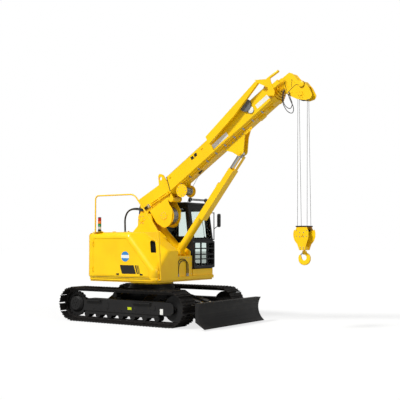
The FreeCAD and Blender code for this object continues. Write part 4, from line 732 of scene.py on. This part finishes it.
t = np.linspace(0, 2 * np.pi, 61)
oval_x = INTAKE_HALF * np.cos(t)
oval_t = INTAKE_END * np.sin(t) + np.sign(np.sin(t)) * (INTAKE_TALL - INTAKE_END)
rim = carried(intake_point(oval_x, oval_t), circle(7, 8), CREASE)
backing = plate(np.stack([oval_x, oval_t], 1)[:-1] * 1.06, intake_point(0, 0, 58), LEVEL, STEEP, 4)
slats = []
for x in np.linspace(-46, 46, 5):
    tall = INTAKE_TALL - INTAKE_END + 1.2 * math.sqrt(INTAKE_HALF ** 2 - x ** 2)
    slats.append(block(intake_point(x, 0, 26), (7, 2 * tall, 22), LEVEL, STEEP, 2))
piece("intake_grille", [backing, *slats], black_plastic, "upper")
piece("intake_rim", [rim], rubber, "upper", 60)

# %% [markdown]
# The engine door carries a round label and a dark plate with slanting stripes, both blank films that ride on
# the door. A black moulding runs along the sill below it, between two latches.

# %% Round label and dark plate
SIDE_FROM = -1.15                                 # metres: the door's points beyond this lie on its outer skin
door_y = corners_of(NODES["engine_door"].data)[:, 1]
skin = np.median(door_y[door_y < SIDE_FROM]) / MM
LABEL, LABEL_BAND = (174.0, 1527.0), 34.0         # its middle, and how far from it the bands start
disc = circle(115, 40)


def on_door(outline, centre, depth, thick):
    """A thin plate on the hood's side, in x and z, standing proud by depth."""
    return plate(np.asarray(outline), (centre[0], skin - depth, centre[1]), FRONT, UP, thick, 0.3)


piece("round_label", [on_door(disc, LABEL, 0, 1.2)], white_label, "engine_door", 20)
cap = disc[np.abs(disc[:, 1]) >= LABEL_BAND]
bands = [on_door(cap[cap[:, 1] * sign > 0], LABEL, 1.2, 0.6) for sign in (-1, 1)]
piece("round_label_bands", bands, blue_label, "engine_door", 20)
PLATE_LOW, PLATE_HIGH, SLANT = 1140.0, 1335.0, 62.0


def slanted(x, width):
    """Parallelogram whose sides lean back by SLANT towards its foot."""
    return [(x + SLANT, PLATE_LOW), (x + width + SLANT, PLATE_LOW), (x + width, PLATE_HIGH), (x, PLATE_HIGH)]


stripes = [on_door(slanted(x, width), (0, 0), 0, 1.2) for x, width in ((20, 405), (455, 34), (505, 22), (543, 13))]
piece("dark_plate_and_stripes", stripes, dark_label, "engine_door", 20)

# %% Latches and sill moulding
latches = [block((x, skin - 3, z), (78, 34, 10), FRONT, UP, 4) for x, z in ((-46, 1128), (640, 1132))]
latches += [turned([(0, 15), (5, 15), (8, 12)], (x, skin - 6, z), RIGHT, 20) for x, z in ((-64, 1128), (622, 1132))]
piece("door_latches", latches, black_plastic, "engine_door")
HOOD_LOW, HOOD_HIGH = bottom_of("engine_hood"), top_of("engine_hood")
rear, fore, low, high = HOOD_LOW[0] + 20, HOOD_HIGH[0] - 150, 1055.0, 1069.0
sill = plate([(rear, low), (fore, low), (fore, high), (rear, high)], (0, HOOD_LOW[1] - 3, 0), FRONT, UP, 6, 1)
piece("sill_moulding", [sill], black_plastic, "upper")

# %% [markdown]
# The tail is the counterweight's round back. Two dark seams run round it, two eyes lift it, and two red lamps
# lie flat on it, turned to face straight out.

# %% Tail seams, eyes and lamps
TAIL = bottom_of("counterweight")


def tail_seam(z):
    """A dark line round the tail: R*(-cos a, sin a), as an arc of the slewing radius."""
    radius = -TAIL[0]
    widest = math.asin(min(1.0, (-TAIL[1] - 2) / radius))
    a = np.linspace(-widest, widest, 60)
    path = np.stack([-radius * np.cos(a), radius * np.sin(a), np.full_like(a, z)], 1)
    return carried(path, [(-2.5, -1.0), (2.5, -1.0), (2.5, 1.2), (-2.5, 1.2)], (0, 0, 1))


piece("tail_seams", [tail_seam(z) for z in (1112, 1851)], dark_label, "upper")
tail_eyes = []
for y in (-520, 520):
    x = -math.sqrt(TAIL[0] ** 2 - y ** 2) + 230
    ring = np.linspace(0, np.pi, 20)
    path = np.stack([x + 0 * ring, y + 42 * np.cos(ring), top_of("counterweight")[2] - 4 + 60 * np.sin(ring)], 1)
    tail_eyes.append(carried(path, circle(11, 10), (1, 0, 0)))
piece("tail_lifting_eyes", tail_eyes, yellow_enamel, "upper")
lamps, lamp_rims = [], []
for y in (-700, 700):
    a = math.asin(y / -TAIL[0])
    out = np.array([-math.cos(a), math.sin(a), 0])
    spot, level = out * -TAIL[0] + (0, 0, 1730), np.cross(out, UP)
    lamp_rims.append(block(spot - out * 2, (150, 60, 9), level, UP, 4))
    lamps.append(block(spot + out * 3, (128, 40, 6), level, UP, 3))
piece("tail_lamp_rims", lamp_rims, black_plastic, "upper")
piece("tail_lamps", lamps, lamp_red, "upper")

# %% [markdown]
# ## Lamp tower and rails
# The state lamp is a tower of four ribbed lenses between black rings, red over orange, green and clear. It
# stands for the plain CAD tower. A second rail runs from the hood down to the front box.

# %% Signal lamp
TOWER_LOW, TOWER_HIGH = bottom_of("signal_light"), top_of("signal_light")
tower_x, tower_y = (TOWER_LOW[0] + TOWER_HIGH[0]) / 2, (TOWER_LOW[1] + TOWER_HIGH[1]) / 2
LENS_TALL, LENS_RADIUS = 66.0, 39.5
lens_z = TOWER_LOW[2] + 54


def lamp_ring(z, tall, radius):
    """Ribbed lens: radius - 1.2*(1 + cos) over twelve ribs up its height."""
    h = np.linspace(0, tall, 49)
    return turned(np.stack([h, radius - 0.6 * (1 + np.cos(24 * np.pi * h / tall))], 1), (tower_x, tower_y, z), UP, 32)


for tone, paint in (("clear", lamp_clear), ("green", lamp_green), ("orange", lamp_orange), ("red", lamp_red)):
    piece("lens_" + tone, [lamp_ring(lens_z, LENS_TALL - 4, LENS_RADIUS)], paint, "upper", 60)
    lens_z += LENS_TALL
base = turned([(0, 40), (38, 40), (46, 34), (54, 34)], (tower_x, tower_y, TOWER_LOW[2]), UP, 32)
rings = [turned([(0, 40), (4, 40)], (tower_x, tower_y, TOWER_LOW[2] + 50 + LENS_TALL * k), UP, 32) for k in range(5)]
cap = turned([(0, 40), (6, 40), (16, 28), (18, 0.5)], (tower_x, tower_y, TOWER_HIGH[2] - 18), UP, 32)
tower = piece("lamp_tower", [base, *rings, cap], black_plastic, "upper")
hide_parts("signal_light")

# %% Second rail, clamps and bolts
RAIL_RADIUS = 13.0
second = curve([(250, -225, 2075), (420, -236, 2090), (560, -262, 1900), (640, -300, 1830), (800, -330, 1800),
                (860, -330, 1700), (875, -330, 1535)], 10)
piece("second_rail", [carried(second, circle(RAIL_RADIUS, 12))], yellow_enamel, "upper", 60)
clamps = [block((HOOD_HIGH[0] + 8, -1060, z), (18, 60, 70)) for z in (1180, 1560)]
clamps += bolt_row((HOOD_HIGH[0] + 17, -1082, 1180), (HOOD_HIGH[0] + 17, -1082, 1560), 2, FRONT, 12)
piece("rail_clamps", clamps, yellow_enamel, "upper")
FRONT_BOX = 980.0                                 # face of the box under the cylinder's foot
FOOT_PIN = np.array(JOINT["derrick_barrel_swing"]["pos_m"]) / MM
front_bolts = bolt_row((FRONT_BOX, -320, 1490), (FRONT_BOX, 240, 1490), 6, FRONT, 17)
for y in (-320, 240):
    front_bolts += bolt_row((FRONT_BOX, y, 1110), (FRONT_BOX, y, 1400), 3, FRONT, 17)
for side, axis in SIDES:
    front_bolts += bolt_circle(FOOT_PIN + (0, side * 122, 0), axis, 56, 3, 14)
    front_bolts += bolt_circle(BOOM_FOOT + (0, side * 214, 0), axis, 88, 6, 20)
piece("upper_bolts", front_bolts, zinc, "upper", 30)

# %% [markdown]
# ## Boom fittings
# Two blank white boards sit on each side of the boom. A dark line shows where the outer section starts on its
# foot, and plates with screws hold the pads on which the sections slide. A dark strip along the boom's top
# edge is painted shade.

# %% Boards, joint lines and painted edge shade
BOOM_SIDE = 210.0                                 # half the boom's width
BOARDS = (2825, 165, 470, 104), (4212, 177, 470, 100)     # along, across, width and height


def on_boom_side(s, n, width, height, side):
    """Film on the boom's flat side: width along s, height along n."""
    x, y = width / 2, height / 2
    corners = [(-x, -y), (x, -y), (x, y), (-x, y)]
    return plate(corners, boom(s, n, side * BOOM_SIDE), ALONG, -side * ACROSS, 1.5, 0.4)


boards = [on_boom_side(*board, side) for side in (-1, 1) for board in BOARDS]
piece("blank_number_boards", boards, white_label, "boom", 20)
joint_lines_and_edge_shade = []
for side in (-1, 1):
    y = side * (BOOM_SIDE + 0.4)
    line = [boom(1052 + 0.3 * n, n, y) for n in np.linspace(56, 398, 12)]
    joint_lines_and_edge_shade.append(carried(line, [(-11, -0.8), (11, -0.8), (11, 0.8), (-11, 0.8)], (0, side, 0)))
    # a dark strip along the top edge: painted shade
    edge = [boom(s, 401, side * 198) for s in np.linspace(1180, 4400, 30)]
    joint_lines_and_edge_shade.append(carried(edge, [(-3, -1), (3, -1), (3, 1.5), (-3, 1.5)], ACROSS))
    joint_lines_and_edge_shade.append(on_boom_side(2062, 312, 190, 74, side))
piece("boom_joint_lines_and_painted_edge_shade", joint_lines_and_edge_shade, dark_label, "boom")

# %% Pad plates
pads = []
for s in (1500, 2100, 2700, 3300, 3900):
    pads.append(block(boom(s, 404, 0), (90, 60, 9), ALONG, SIDEWAYS))
    pads += [hex_bolt(boom(s + d, 408, 0), ACROSS, 17) for d in (-28, 28)]
for side in (-1, 1):
    for s in (1250, 2330, 3350):
        pads.append(block(boom(s, 335, side * (BOOM_SIDE + 5)), (60, 11, 46), ALONG, SIDEWAYS))
        pads.append(hex_bolt(boom(s, 335, side * (BOOM_SIDE + 10)), (0, side, 0), 20))
    pads.append(block(boom(2062, 312, side * (BOOM_SIDE + 4)), (26, 9, 74), ALONG, SIDEWAYS, 1))
piece("boom_pad_plates", pads, yellow_enamel, "boom")

# %% [markdown]
# Two pipes for the small winch run along the boom's lower right edge in tilted clips. Brackets with bolts hang
# under its outer end.

# %% Pipes, clips and brackets under the boom
pipes, clips = [], []
for y, n in ((-136, 4), (-168, 30)):
    pipes.append(carried([boom(s, n, y) for s in np.linspace(1270, 4300, 24)], circle(9, 10)))
TILTED = unit(SIDEWAYS * 0.78 - ACROSS * 0.63)
for s in np.arange(1400, 4300, 290):
    clips.append(block(boom(s, 12, -157), (34, 70, 10), ALONG, TILTED, 2))
    clips.append(hex_bolt(boom(s, 6, -162), np.cross(TILTED, ALONG), 13))
piece("boom_side_pipes", pipes, yellow_enamel, "boom", 60)
piece("pipe_clips", clips, zinc, "boom")
brackets = []
for s, length, deep in ((3900, 160, 60), (4180, 120, 40)):
    brackets.append(block(boom(s, -deep / 2 - 1, -40), (length, 110, deep), ALONG, SIDEWAYS, 6))
    brackets += bolt_row(boom(s - length * 0.36, -deep, -75), boom(s + length * 0.36, -deep, -75), 3, -ACROSS, 15)
brackets.append(plate([(-140, -24), (-92, -104), (96, -104), (150, -24)], boom(3480, 0, -104), ALONG, ACROSS, 8, 1))
brackets += bolt_row(boom(3410, -64, -112), boom(3560, -64, -112), 3, RIGHT, 22)
piece("boom_underside_brackets", brackets, yellow_enamel, "boom")

# %% [markdown]
# The reel's round cover is white. The head's cheek is built up from plates, and the black strips along the
# steps between them are painted shade: each is a thin strip carried along the step.

# %% Reel cover and the painted shade along the head's plate steps
REEL_COVER = boom(3838, 205, -BOOM_SIDE)
cover = [turned([(18, 71), (21.5, 71), (23, 66), (29, 4)], REEL_COVER, RIGHT, 40)]
piece("reel_cover_disc", cover, white_label, "boom")
HEAD_OUT, ROLLER = 108.0, (5064, -92)             # half the head's width; the roller's place on the boom
# painted shade: black strips along the steps where the cheek's plates meet
joints = [[(4712, -22), (4830, -8), (4952, -6), (5004, -56)], [(4716, 34), (4774, 214)], [(4846, 20), (4950, 150)]]
painted_shade_seams = [carried([boom(s, n, -HEAD_OUT - 0.8) for s, n in row], [(-5, -1), (5, -1), (5, 1), (-5, 1)], RIGHT)
         for row in joints]
painted_shade_seams.append(block(boom(4648, 288, -HEAD_OUT - 5.6), (44, 40, 1.6), ALONG, ACROSS, 0.3))
painted_shade_seams.append(turned([(0.4, 70), (2, 70)], boom(*ROLLER, -HEAD_OUT), RIGHT, 36))
piece("head_painted_shade_seams_and_opening", painted_shade_seams, black_enamel, "section_5")

# %% [markdown]
# ## Hoses
# A hydraulic hose is a fixed length of stiff rubber between two fittings. Each follows an order-3 NURBS line
# led by a few control points, straight out of its fitting. Those at the boom foot cross the boom's hinge.

# %% One hose
def hose_line(points):
    """Points along the NURBS spline of order 3 that these control points (mm) define."""
    data = bpy.data.curves.new("route", "CURVE")
    data.dimensions, data.resolution_u = "3D", 10
    spline = data.splines.new("NURBS")
    spline.points.add(len(points) - 1)
    for place, at in zip(spline.points, points):
        place.co = (*at, 1.0)
    spline.order_u, spline.use_endpoint_u = 3, True
    route = bpy.data.objects.new("route", data)
    line = corners_of(bpy.data.meshes.new_from_object(route))
    bpy.data.objects.remove(route)
    return line


def hose(name, points, radius, body, up=(0, 1, 0)):
    """A hose between two fittings of the machine, along the line that its control points lead."""
    line = hose_line(points)
    made = piece(name, [carried(line, circle(radius, 12), up)], rubber, body, 60)
    return made


# %% Hoses at the boom foot
for k, (start_y, n) in enumerate(((-176, 132), (-196, 176))):
    route = [(-705, start_y + 30, 2064), (-708, start_y + 30, 2230), (-690, start_y, 2430), (-600, start_y - 6, 2590),
             (-430, -200, 2640 + 20 * k), (-220, -202, 2620 + 34 * k), boom(170, n - 6, -201), boom(380, n, -200)]
    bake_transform(hose(f"boom_foot_hose_{k + 1}", route, 15, None))

# %% Hoses at the head and the front box
loops = [[boom(4640, 60, -118), boom(4590, 0, -150), boom(4500, -150, -162), boom(4480, -370, -164),
          boom(4560, -500, -164), boom(4660, -400, -160), boom(4670, -200, -150), boom(4700, -60, -118)],
         [boom(4680, 70, -118), boom(4640, -10, -178), boom(4550, -120, -190), boom(4520, -260, -192),
          boom(4580, -400, -192), boom(4690, -330, -186), boom(4710, -160, -170), boom(4740, -50, -118)]]
for k, route in enumerate(loops):
    hose(f"head_hose_{k + 1}", route, 8, "section_5")
for k, (low_y, high_y, high) in enumerate(((-330, 40, 1462), (-290, 90, 1425))):
    x, mid = 998 + 4 * k, (low_y + high_y) / 2
    rising = [(x, low_y, 1100), (x, low_y, 1250), (x + 8, low_y + 20, high - 60), (x + 14, mid - 70, high)]
    falling = [(a, 2 * mid - y, z) for a, y, z in rising[::-1]]
    hose(f"front_box_hose_{k + 1}", rising + falling, 9, "upper", FRONT)

# %% Hose fittings
fittings = [turned([(-6, 30), (8, 30), (8, 22), (60, 22), (60, 17)], (-705, y, 2062), UP, 6) for y in (-146, -166)]
for y in (-330, 40, -290, 90):
    fittings.append(turned([(-14, 15), (24, 15), (24, 12), (40, 12)], (999, y, 1092), UP, 6))
    fittings.append(block((985, y, 1076), (44, 44, 26)))
piece("upper_hose_fittings", fittings, zinc, "upper")
fittings = [turned([(-70, 17), (-52, 23), (0, 23), (0, 17)], boom(384, n, -200), ALONG, 6) for n in (132, 176)]
piece("boom_hose_fittings", fittings, zinc, "boom")
fittings = [turned([(-6, 16), (14, 16), (14, 11), (30, 11)], boom(s, n, -112), RIGHT, 6)
            for s, n in ((4640, 60), (4680, 70), (4700, -60), (4740, -50))]
piece("head_hose_fittings", fittings, zinc, "section_5")

# %% [markdown]
# Last on the boom come the head's cheek plate and upper block, its bolts, and a roller at its upper edge that
# keeps the rope from jumping out.

# %% Head plates, roller and bolts
head_bits = [plate([(-60, -66), (58, -66), (66, 58), (-40, 66)], boom(4672, 262, -HEAD_OUT), ALONG, ACROSS, 5, 1),
             block(boom(4700, 333, -40), (120, 90, 46), ALONG, SIDEWAYS, 6),
             turned([(2, 54), (4, 60), (26, 60), (28, 57), (30, 30), (30, 3)], boom(*ROLLER, -HEAD_OUT), RIGHT, 36)]
for side, axis in SIDES:
    head_bits += bolt_circle(boom(4930, -250, side * (HEAD_OUT + 18)), axis, 62, 6, 16)
    head_bits += bolt_row(boom(4700, 90, side * HEAD_OUT), boom(4960, 60, side * HEAD_OUT), 4, axis, 17)
head_bits += bolt_row(boom(4790, -80, -HEAD_OUT), boom(4880, -150, -HEAD_OUT), 2, RIGHT, 17)
piece("head_plates_and_bolts", head_bits, yellow_enamel, "section_5")

# %% [markdown]
# ## Cab
# The driver's seat is foam under a woven cover. Each pad starts as its cut shape a little small, is remeshed to
# even squares, and is blown up by cloth under pressure, with every point's move capped. Sewn channels are
# pressed in afterwards. Under it is a bellows suspension.

# %% One pad
def baked(made):
    """Keep the object's evaluated mesh and drop its modifiers."""
    graph = bpy.context.evaluated_depsgraph_get()
    mesh = bpy.data.meshes.new_from_object(made.evaluated_get(graph))
    made.modifiers.clear()
    made.data = mesh


INSET, VOXEL = 9.0, 8.0                           # how far the cut shape is drawn in, and its squares
CHANNEL_DEEP, CHANNEL_WIDE = 6.0, 9.0
PRESSURE, FRAMES = 4.0, 20                        # inside the cloth, and for how long


def pad(name, outline, low_y, high_y, channels, cap):
    """Pad from an outline in x and z (mm): drawn in, remeshed, blown up by at most cap, then channelled.

    channels is (start, step, count, axis), along z for an upright pad and along x for a seat. Each presses
    the surface in by CHANNEL_DEEP * exp(-(d / CHANNEL_WIDE)^2), where d is the distance to the channel.
    """
    flat = np.asarray(outline, float)
    middle = flat.mean(0)
    flat = middle + (flat - middle) * (1 - 2 * INSET / np.ptp(flat, axis=0))
    shape = plate(flat, (0, high_y - INSET, 0), FRONT, UP, high_y - low_y - 2 * INSET, 14)
    made = piece(name, [shape], seat_cloth, None, 60)
    net = made.modifiers.new("voxels", "REMESH")
    net.mode, net.voxel_size = "VOXEL", VOXEL * MM
    baked(made)
    before = corners_of(made.data)
    air = made.modifiers.new("air", "CLOTH").settings
    air.use_pressure, air.uniform_pressure_force = True, PRESSURE
    air.effector_weights.gravity = 0.0
    for moment in range(FRAMES):
        bpy.context.scene.frame_set(moment + 1)
    baked(made)
    bpy.context.scene.frame_set(1)
    move = corners_of(made.data) - before
    far = np.linalg.norm(move, axis=1, keepdims=True)
    made.data.vertices.foreach_set("co", (before + move * np.minimum(1, cap * MM / (far + 1e-9))).ravel())
    first, apart, count, axis = channels
    places = corners_of(made.data)
    normals = np.empty(len(places) * 3)
    made.data.vertices.foreach_get("normal", normals)
    away = np.abs(places[:, axis, None] / MM - (first + apart * np.arange(count))).min(1)
    press = CHANNEL_DEEP * MM * np.exp(-(away / CHANNEL_WIDE) ** 2)
    made.data.vertices.foreach_set("co", (places - press[:, None] * normals.reshape(-1, 3)).ravel())
    made.modifiers.new("rounding", "SUBSURF").levels = 1
    baked(made)
    made.data.shade_smooth()
    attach(made, "upper")
    return made


# %% Seat, back and headrest
SEAT = [(-380, 1484), (150, 1484), (168, 1586), (-376, 1576)]
BACK = [(-376, 1590), (-276, 1590), (-364, 2170), (-462, 2170)]
HEAD = [(-452, 2204), (-372, 2204), (-388, 2362), (-462, 2362)]
seat_pad = pad("seat_cushion", SEAT, 504, 956, (-250, 110, 4, 0), 14)
pad("seat_back", BACK, 514, 946, (1700, 110, 5, 2), 14)
pad("seat_headrest", HEAD, 614, 846, (2283, 200, 1, 2), 10)
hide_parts("cab_seat")

# %% [markdown]
# The seat stands on a bellows, whose five folds are a sine up its height, and has two arms on posts.

# %% Seat base and arms
up = np.linspace(0, 205, 61)
bellows = np.stack([up, 168 + 16 * np.sin(up / 205 * 2 * np.pi * 5)], 1)
seat_base = [turned(bellows, (-120, 730, 1266), UP, 40), block((-110, 730, 1478), (430, 380, 10), ease=3)]
seat_base += [turned([(0, 11), (62, 11)], (-400, y, 2158), (-0.1, 0, 1), 14) for y in (690, 770)]
for y in (478, 982):
    seat_base.append(block((-150, y, 1700), (330, 44, 52), ease=16))
    seat_base.append(block((-310, y, 1610), (50, 14, 190), ease=4))
piece("seat_base_and_arms", seat_base, black_plastic, "upper", 50)

# %% [markdown]
# Rubber boots close the levers' feet: each is a narrowing cone with folds. The mirror has a bright face, and
# the door a grab rail.

# %% Lever boots, mirror and grab rail
def boot(foot, axis, tall, wide, narrowing, rings):
    """Folded cone: radius wide - narrowing*h + 4*cos(0.62 h), with h up its height."""
    h = np.linspace(0, tall, rings)
    return turned(np.stack([h, wide - narrowing * h + 4 * np.cos(h * 0.62)], 1), foot, axis, 24)


boots = [boot((180, y, 1640), UP, 80, 30, 0.2, 33) for y in (435, 1030)]
boots += [boot((688, y, 1300), (-0.24, 0, 1), 70, 46, 0.3, 29) for y in (640, 800)]
piece("lever_boots", boots, rubber, "upper", 60)
mirror_face = plate([(-38, -140), (38, -140), (38, 140), (-38, 140)], (1017, 1326, 2380), RIGHT, UP, 2, 1)
piece("mirror_glass", [mirror_face], chrome, "upper")
rail = curve([(805, 1172, 1520), (812, 1220, 1540), (812, 1222, 1700), (800, 1222, 1960), (794, 1172, 1980)], 10)
piece("door_grab_rail", [carried(rail, circle(12, 10), (1, 0, 0))], black_enamel, "cab_door", 60)

# %% [markdown]
# Two bars guard the roof's front edge, and two work lamps stand on it, tipped a little down. A wiper lies on
# the windscreen.

# %% Roof bars and work lamps
BEAM = (1, 0, -0.12)
bars, lamps, lamp_glass = [], [], []
for z, x in ((2838, 905), (2868, 865)):
    bars.append(carried(curve([(x - 40, 320, 2796), (x, 330, z), (x + 20, 520, z + 4), (x + 20, 940, z + 4),
                               (x, 1130, z), (x - 40, 1140, 2796)], 8), circle(11, 10), (1, 0, 0)))
for y in (400, 1060):
    bars.append(block((826, y, 2822), (16, 50, 44)))
    lamps.append(turned([(0, 30), (12, 44), (46, 50), (58, 50)], (800, y, 2868), BEAM, 28))
    lamp_glass.append(turned([(0, 46), (6, 40), (9, 2)], (857, y, 2861), BEAM, 28))
piece("cab_roof_bars", bars, black_enamel, "upper", 60)
piece("work_lamp_bodies", lamps, black_plastic, "upper", 50)
piece("work_lamp_lenses", lamp_glass, lens, "upper", 50)

# %% Wiper
wiper = [carried(curve([(996, 760, 1985), (985, 740, 2180), (962, 700, 2380), (945, 690, 2520)], 8), circle(5, 8)),
         turned([(0, 22), (16, 20), (22, 10)], (994, 760, 1968), FRONT, 20),
         block((950, 705, 2450), (5, 7, 330), (1, 0, 0.24), SIDEWAYS, 1.5)]
piece("wiper", wiper, black_plastic, "upper", 50)

# %% [markdown]
# ## Hook block
# The block's lid is black, with slots that the falls pass through. Curved covers keep the rope on its sheaves,
# and a sprung latch closes the hook's throat.

# %% Lid and rope covers
LID = np.array([BLOCK[0], 0, top_of("hook_block")[2]])
LID_X, LID_Y, LID_DEEP = 137.0, 122.0, 22.0       # half its length and width, and how far its rim hangs down
lid_strips = []
for x0, x1 in ((-98, 98), (125, LID_X), (-LID_X, -125)):
    lid_strips.append(plate([(x0, -LID_Y), (x1, -LID_Y), (x1, LID_Y), (x0, LID_Y)], LID, FRONT, LEFT, 4, 1))
for reach, off, along, thick in ((LID_X, (0, -120.4, 0), FRONT, 3.5), (LID_X, (0, 120.4, 0), FRONT, -3.5),
                                 (LID_Y, (135.4, 0, 0), LEFT, 3.5), (LID_Y, (-135.4, 0, 0), RIGHT, 3.5)):
    rim = [(-reach, -LID_DEEP), (reach, -LID_DEEP), (reach, 3), (-reach, 3)]
    lid_strips.append(plate(rim, LID + off, along, UP, thick, 1))
piece("block_lid_skin", lid_strips, black_enamel, "hook_block")
covers, COVER = [], 149.0
for facing in (-1, 1):
    t = np.radians(np.linspace(-82, 24, 40))
    arc = np.stack([BLOCK[0] + facing * COVER * np.cos(t), 0 * t, BLOCK[2] + COVER * np.sin(t)], 1)
    covers.append(carried(arc, [(-110, -2.5), (110, -2.5), (110, 2.5), (-110, 2.5)]))
piece("rope_covers", covers, yellow_enamel, "hook_block", 50)

# %% Block bolts and latch
block_bolts = []
for side, axis in SIDES:
    block_bolts += bolt_circle(BLOCK + (0, side * 120, 0), axis, 62, 4, 18, math.pi / 4)
    block_bolts += [hex_bolt(BLOCK + (x, side * 120, z), axis, 18) for x in (-34, 34) for z in (-300, -262)]
    block_bolts += [hex_bolt(BLOCK + (x, side * 120, z), axis, 15) for x in (-118, 118) for z in (-30, 90)]
piece("block_bolts", block_bolts, zinc, "hook_block", 30)
THROAT_TOP, THROAT_TIP = BLOCK + (-36, 0, -383), BLOCK + (-92, 0, -428)
throat, middle = unit(THROAT_TIP - THROAT_TOP), (THROAT_TOP + THROAT_TIP) / 2
latch = [block(middle + (0, y, 0), size, throat, SIDEWAYS, 1)
         for y, size in ((0, (76, 30, 3)), (14, (76, 3, 14)), (-14, (76, 3, 14)))]
latch.append(turned([(-36, 8), (36, 8)], THROAT_TOP, SIDEWAYS, 16))
piece("hook_latch", latch, zinc, "hook")

# %% [markdown]
# ## Undercarriage
# Each of the 45 shoes is held to its chain link by four bolts, and each link shows its side plate and the end of
# its pin. Their places follow the same loop as the CAD track: two straight runs and two half turns.

# %% Pins of the track chain
TUMBLER, TRACK_AXIS, GAUGE = 2880.0, 400.0, 1990.0     # between axles, above the ground, and between tracks
PIN_RADIUS, LINKS = 330.0, 45                     # the chain's half turns, and its number of links
CHAIN_HALF, SHOE_OUT = 75.0, 50.0                 # half the chain's width, and the shoes' outer face above the pins
half_loop = math.pi * PIN_RADIUS
PITCH = (2 * TUMBLER + 2 * half_loop) / LINKS
way = np.arange(LINKS) * PITCH
turn_front = (way - TUMBLER) / PIN_RADIUS
turn_rear = (way - 2 * TUMBLER - half_loop) / PIN_RADIUS
runs = [way < TUMBLER, way < TUMBLER + half_loop, way < 2 * TUMBLER + half_loop]
pin_x = np.select(runs, [way - TUMBLER / 2, TUMBLER / 2 + PIN_RADIUS * np.sin(turn_front),
                         TUMBLER * 1.5 + half_loop - way], -TUMBLER / 2 - PIN_RADIUS * np.sin(turn_rear))
pin_z = TRACK_AXIS + np.select(runs, [-PIN_RADIUS + 0 * way, -PIN_RADIUS * np.cos(turn_front), PIN_RADIUS + 0 * way],
                               PIN_RADIUS * np.cos(turn_rear))
pins = np.stack([pin_x, 0 * way, pin_z], 1)
steps = np.roll(pins, -1, axis=0) - pins
on = unit(steps)
out = np.stack([on[:, 2], 0 * way, -on[:, 0]], 1)
middles = pins + steps / 2
print("chain pitch", round(PITCH, 1), "mm")

# %% Shoe bolts and chain links
t = np.linspace(0, 2 * np.pi, 16, endpoint=False)
link_outline = np.stack([(PITCH * 0.5 - 6) * np.sign(np.cos(t)) * np.abs(np.cos(t)) ** 0.5, 27 * np.sin(t)], 1)
for side, track in ((-1, "right"), (1, "left")):
    bolts, links = [], []
    for middle, along, away, pin in zip(middles, on, out, pins):
        for u in (-33, 33):
            for y in (-46, 46):
                spot = middle + u * along + (SHOE_OUT - 1) * away + (0, side * GAUGE / 2 + y, 0)
                bolts.append(turned([(0, 12.5), (11, 12.5), (13, 10)], spot, away, 6))
        for face in (-1, 1):
            at = (0, side * GAUGE / 2 + face * CHAIN_HALF, 0)
            links.append(plate(link_outline[::face], middle + at, along, np.cross((0, face, 0), along), 7, 2))
            links.append(turned([(0, 19), (10, 19), (13, 15)], pin + at, (0, face, 0), 12))
    piece(f"shoe_bolts_{track}", bolts, track_steel, "undercarriage", 30)
    piece(f"chain_links_{track}", links, track_steel, "undercarriage", 30)

# %% [markdown]
# The track frames carry bolted covers, ribs on their steps, the rings of bolts that hold the hubs, a grease
# opening, and two blank labels on each side.

# %% Hubs and covers
FRAME_FACE = 1115.0                               # outer face of a track frame
hubs, covers = [], []
for side, axis in SIDES:
    hubs += bolt_circle((-TUMBLER / 2, side * 1095, TRACK_AXIS), axis, 88, 8, 20)
    hubs += bolt_circle((-TUMBLER / 2, side * 1095, TRACK_AXIS), axis, 40, 3, 24, 0.6)
    hubs += bolt_circle((TUMBLER / 2, side * 1069, TRACK_AXIS), axis, 46, 4, 16)
    face = side * FRAME_FACE
    covers.append(block((900, face, 400), (150, 12, 110), ease=3))
    hubs += [hex_bolt((x, face + side * 6, z), axis, 15) for x in (838, 962) for z in (358, 442)]
    covers.append(block((-420, face, 396), (90, 10, 150), ease=3))
    hubs += [hex_bolt((-420, face + side * 5, z), axis, 15) for z in (335, 457)]
    hubs += bolt_row((-840, face, 300), (840, face, 300), 9, axis, 18)
    for low_x, high_x in ((-1060, -600), (330, 860)):
        for x in np.arange(low_x + 25, high_x - 10, 36):
            covers.append(block((x, side * 1149, 513), (14, 46, 4), ease=1))
piece("frame_covers", covers, chassis_enamel, "undercarriage")
piece("hub_and_frame_bolts", hubs, cast_steel, "undercarriage", 30)

# %% Grease openings and labels
openings = [turned([(0, 22), (2, 22)], (390, side * FRAME_FACE, 368), (0, side, 0), 24) for side in (-1, 1)]
piece("grease_openings", openings, rubber, "undercarriage")
for name, film, x, z, width, height in (("green_frame_labels", green_label, 242, 361, 112, 60),
                                        ("white_frame_labels", white_label, 1146, 330, 84, 120)):
    labels = [block((x, side * (FRAME_FACE + 0.8), z), (width, 1.6, height), ease=0.4) for side in (-1, 1)]
    piece(name, labels, film, "undercarriage")
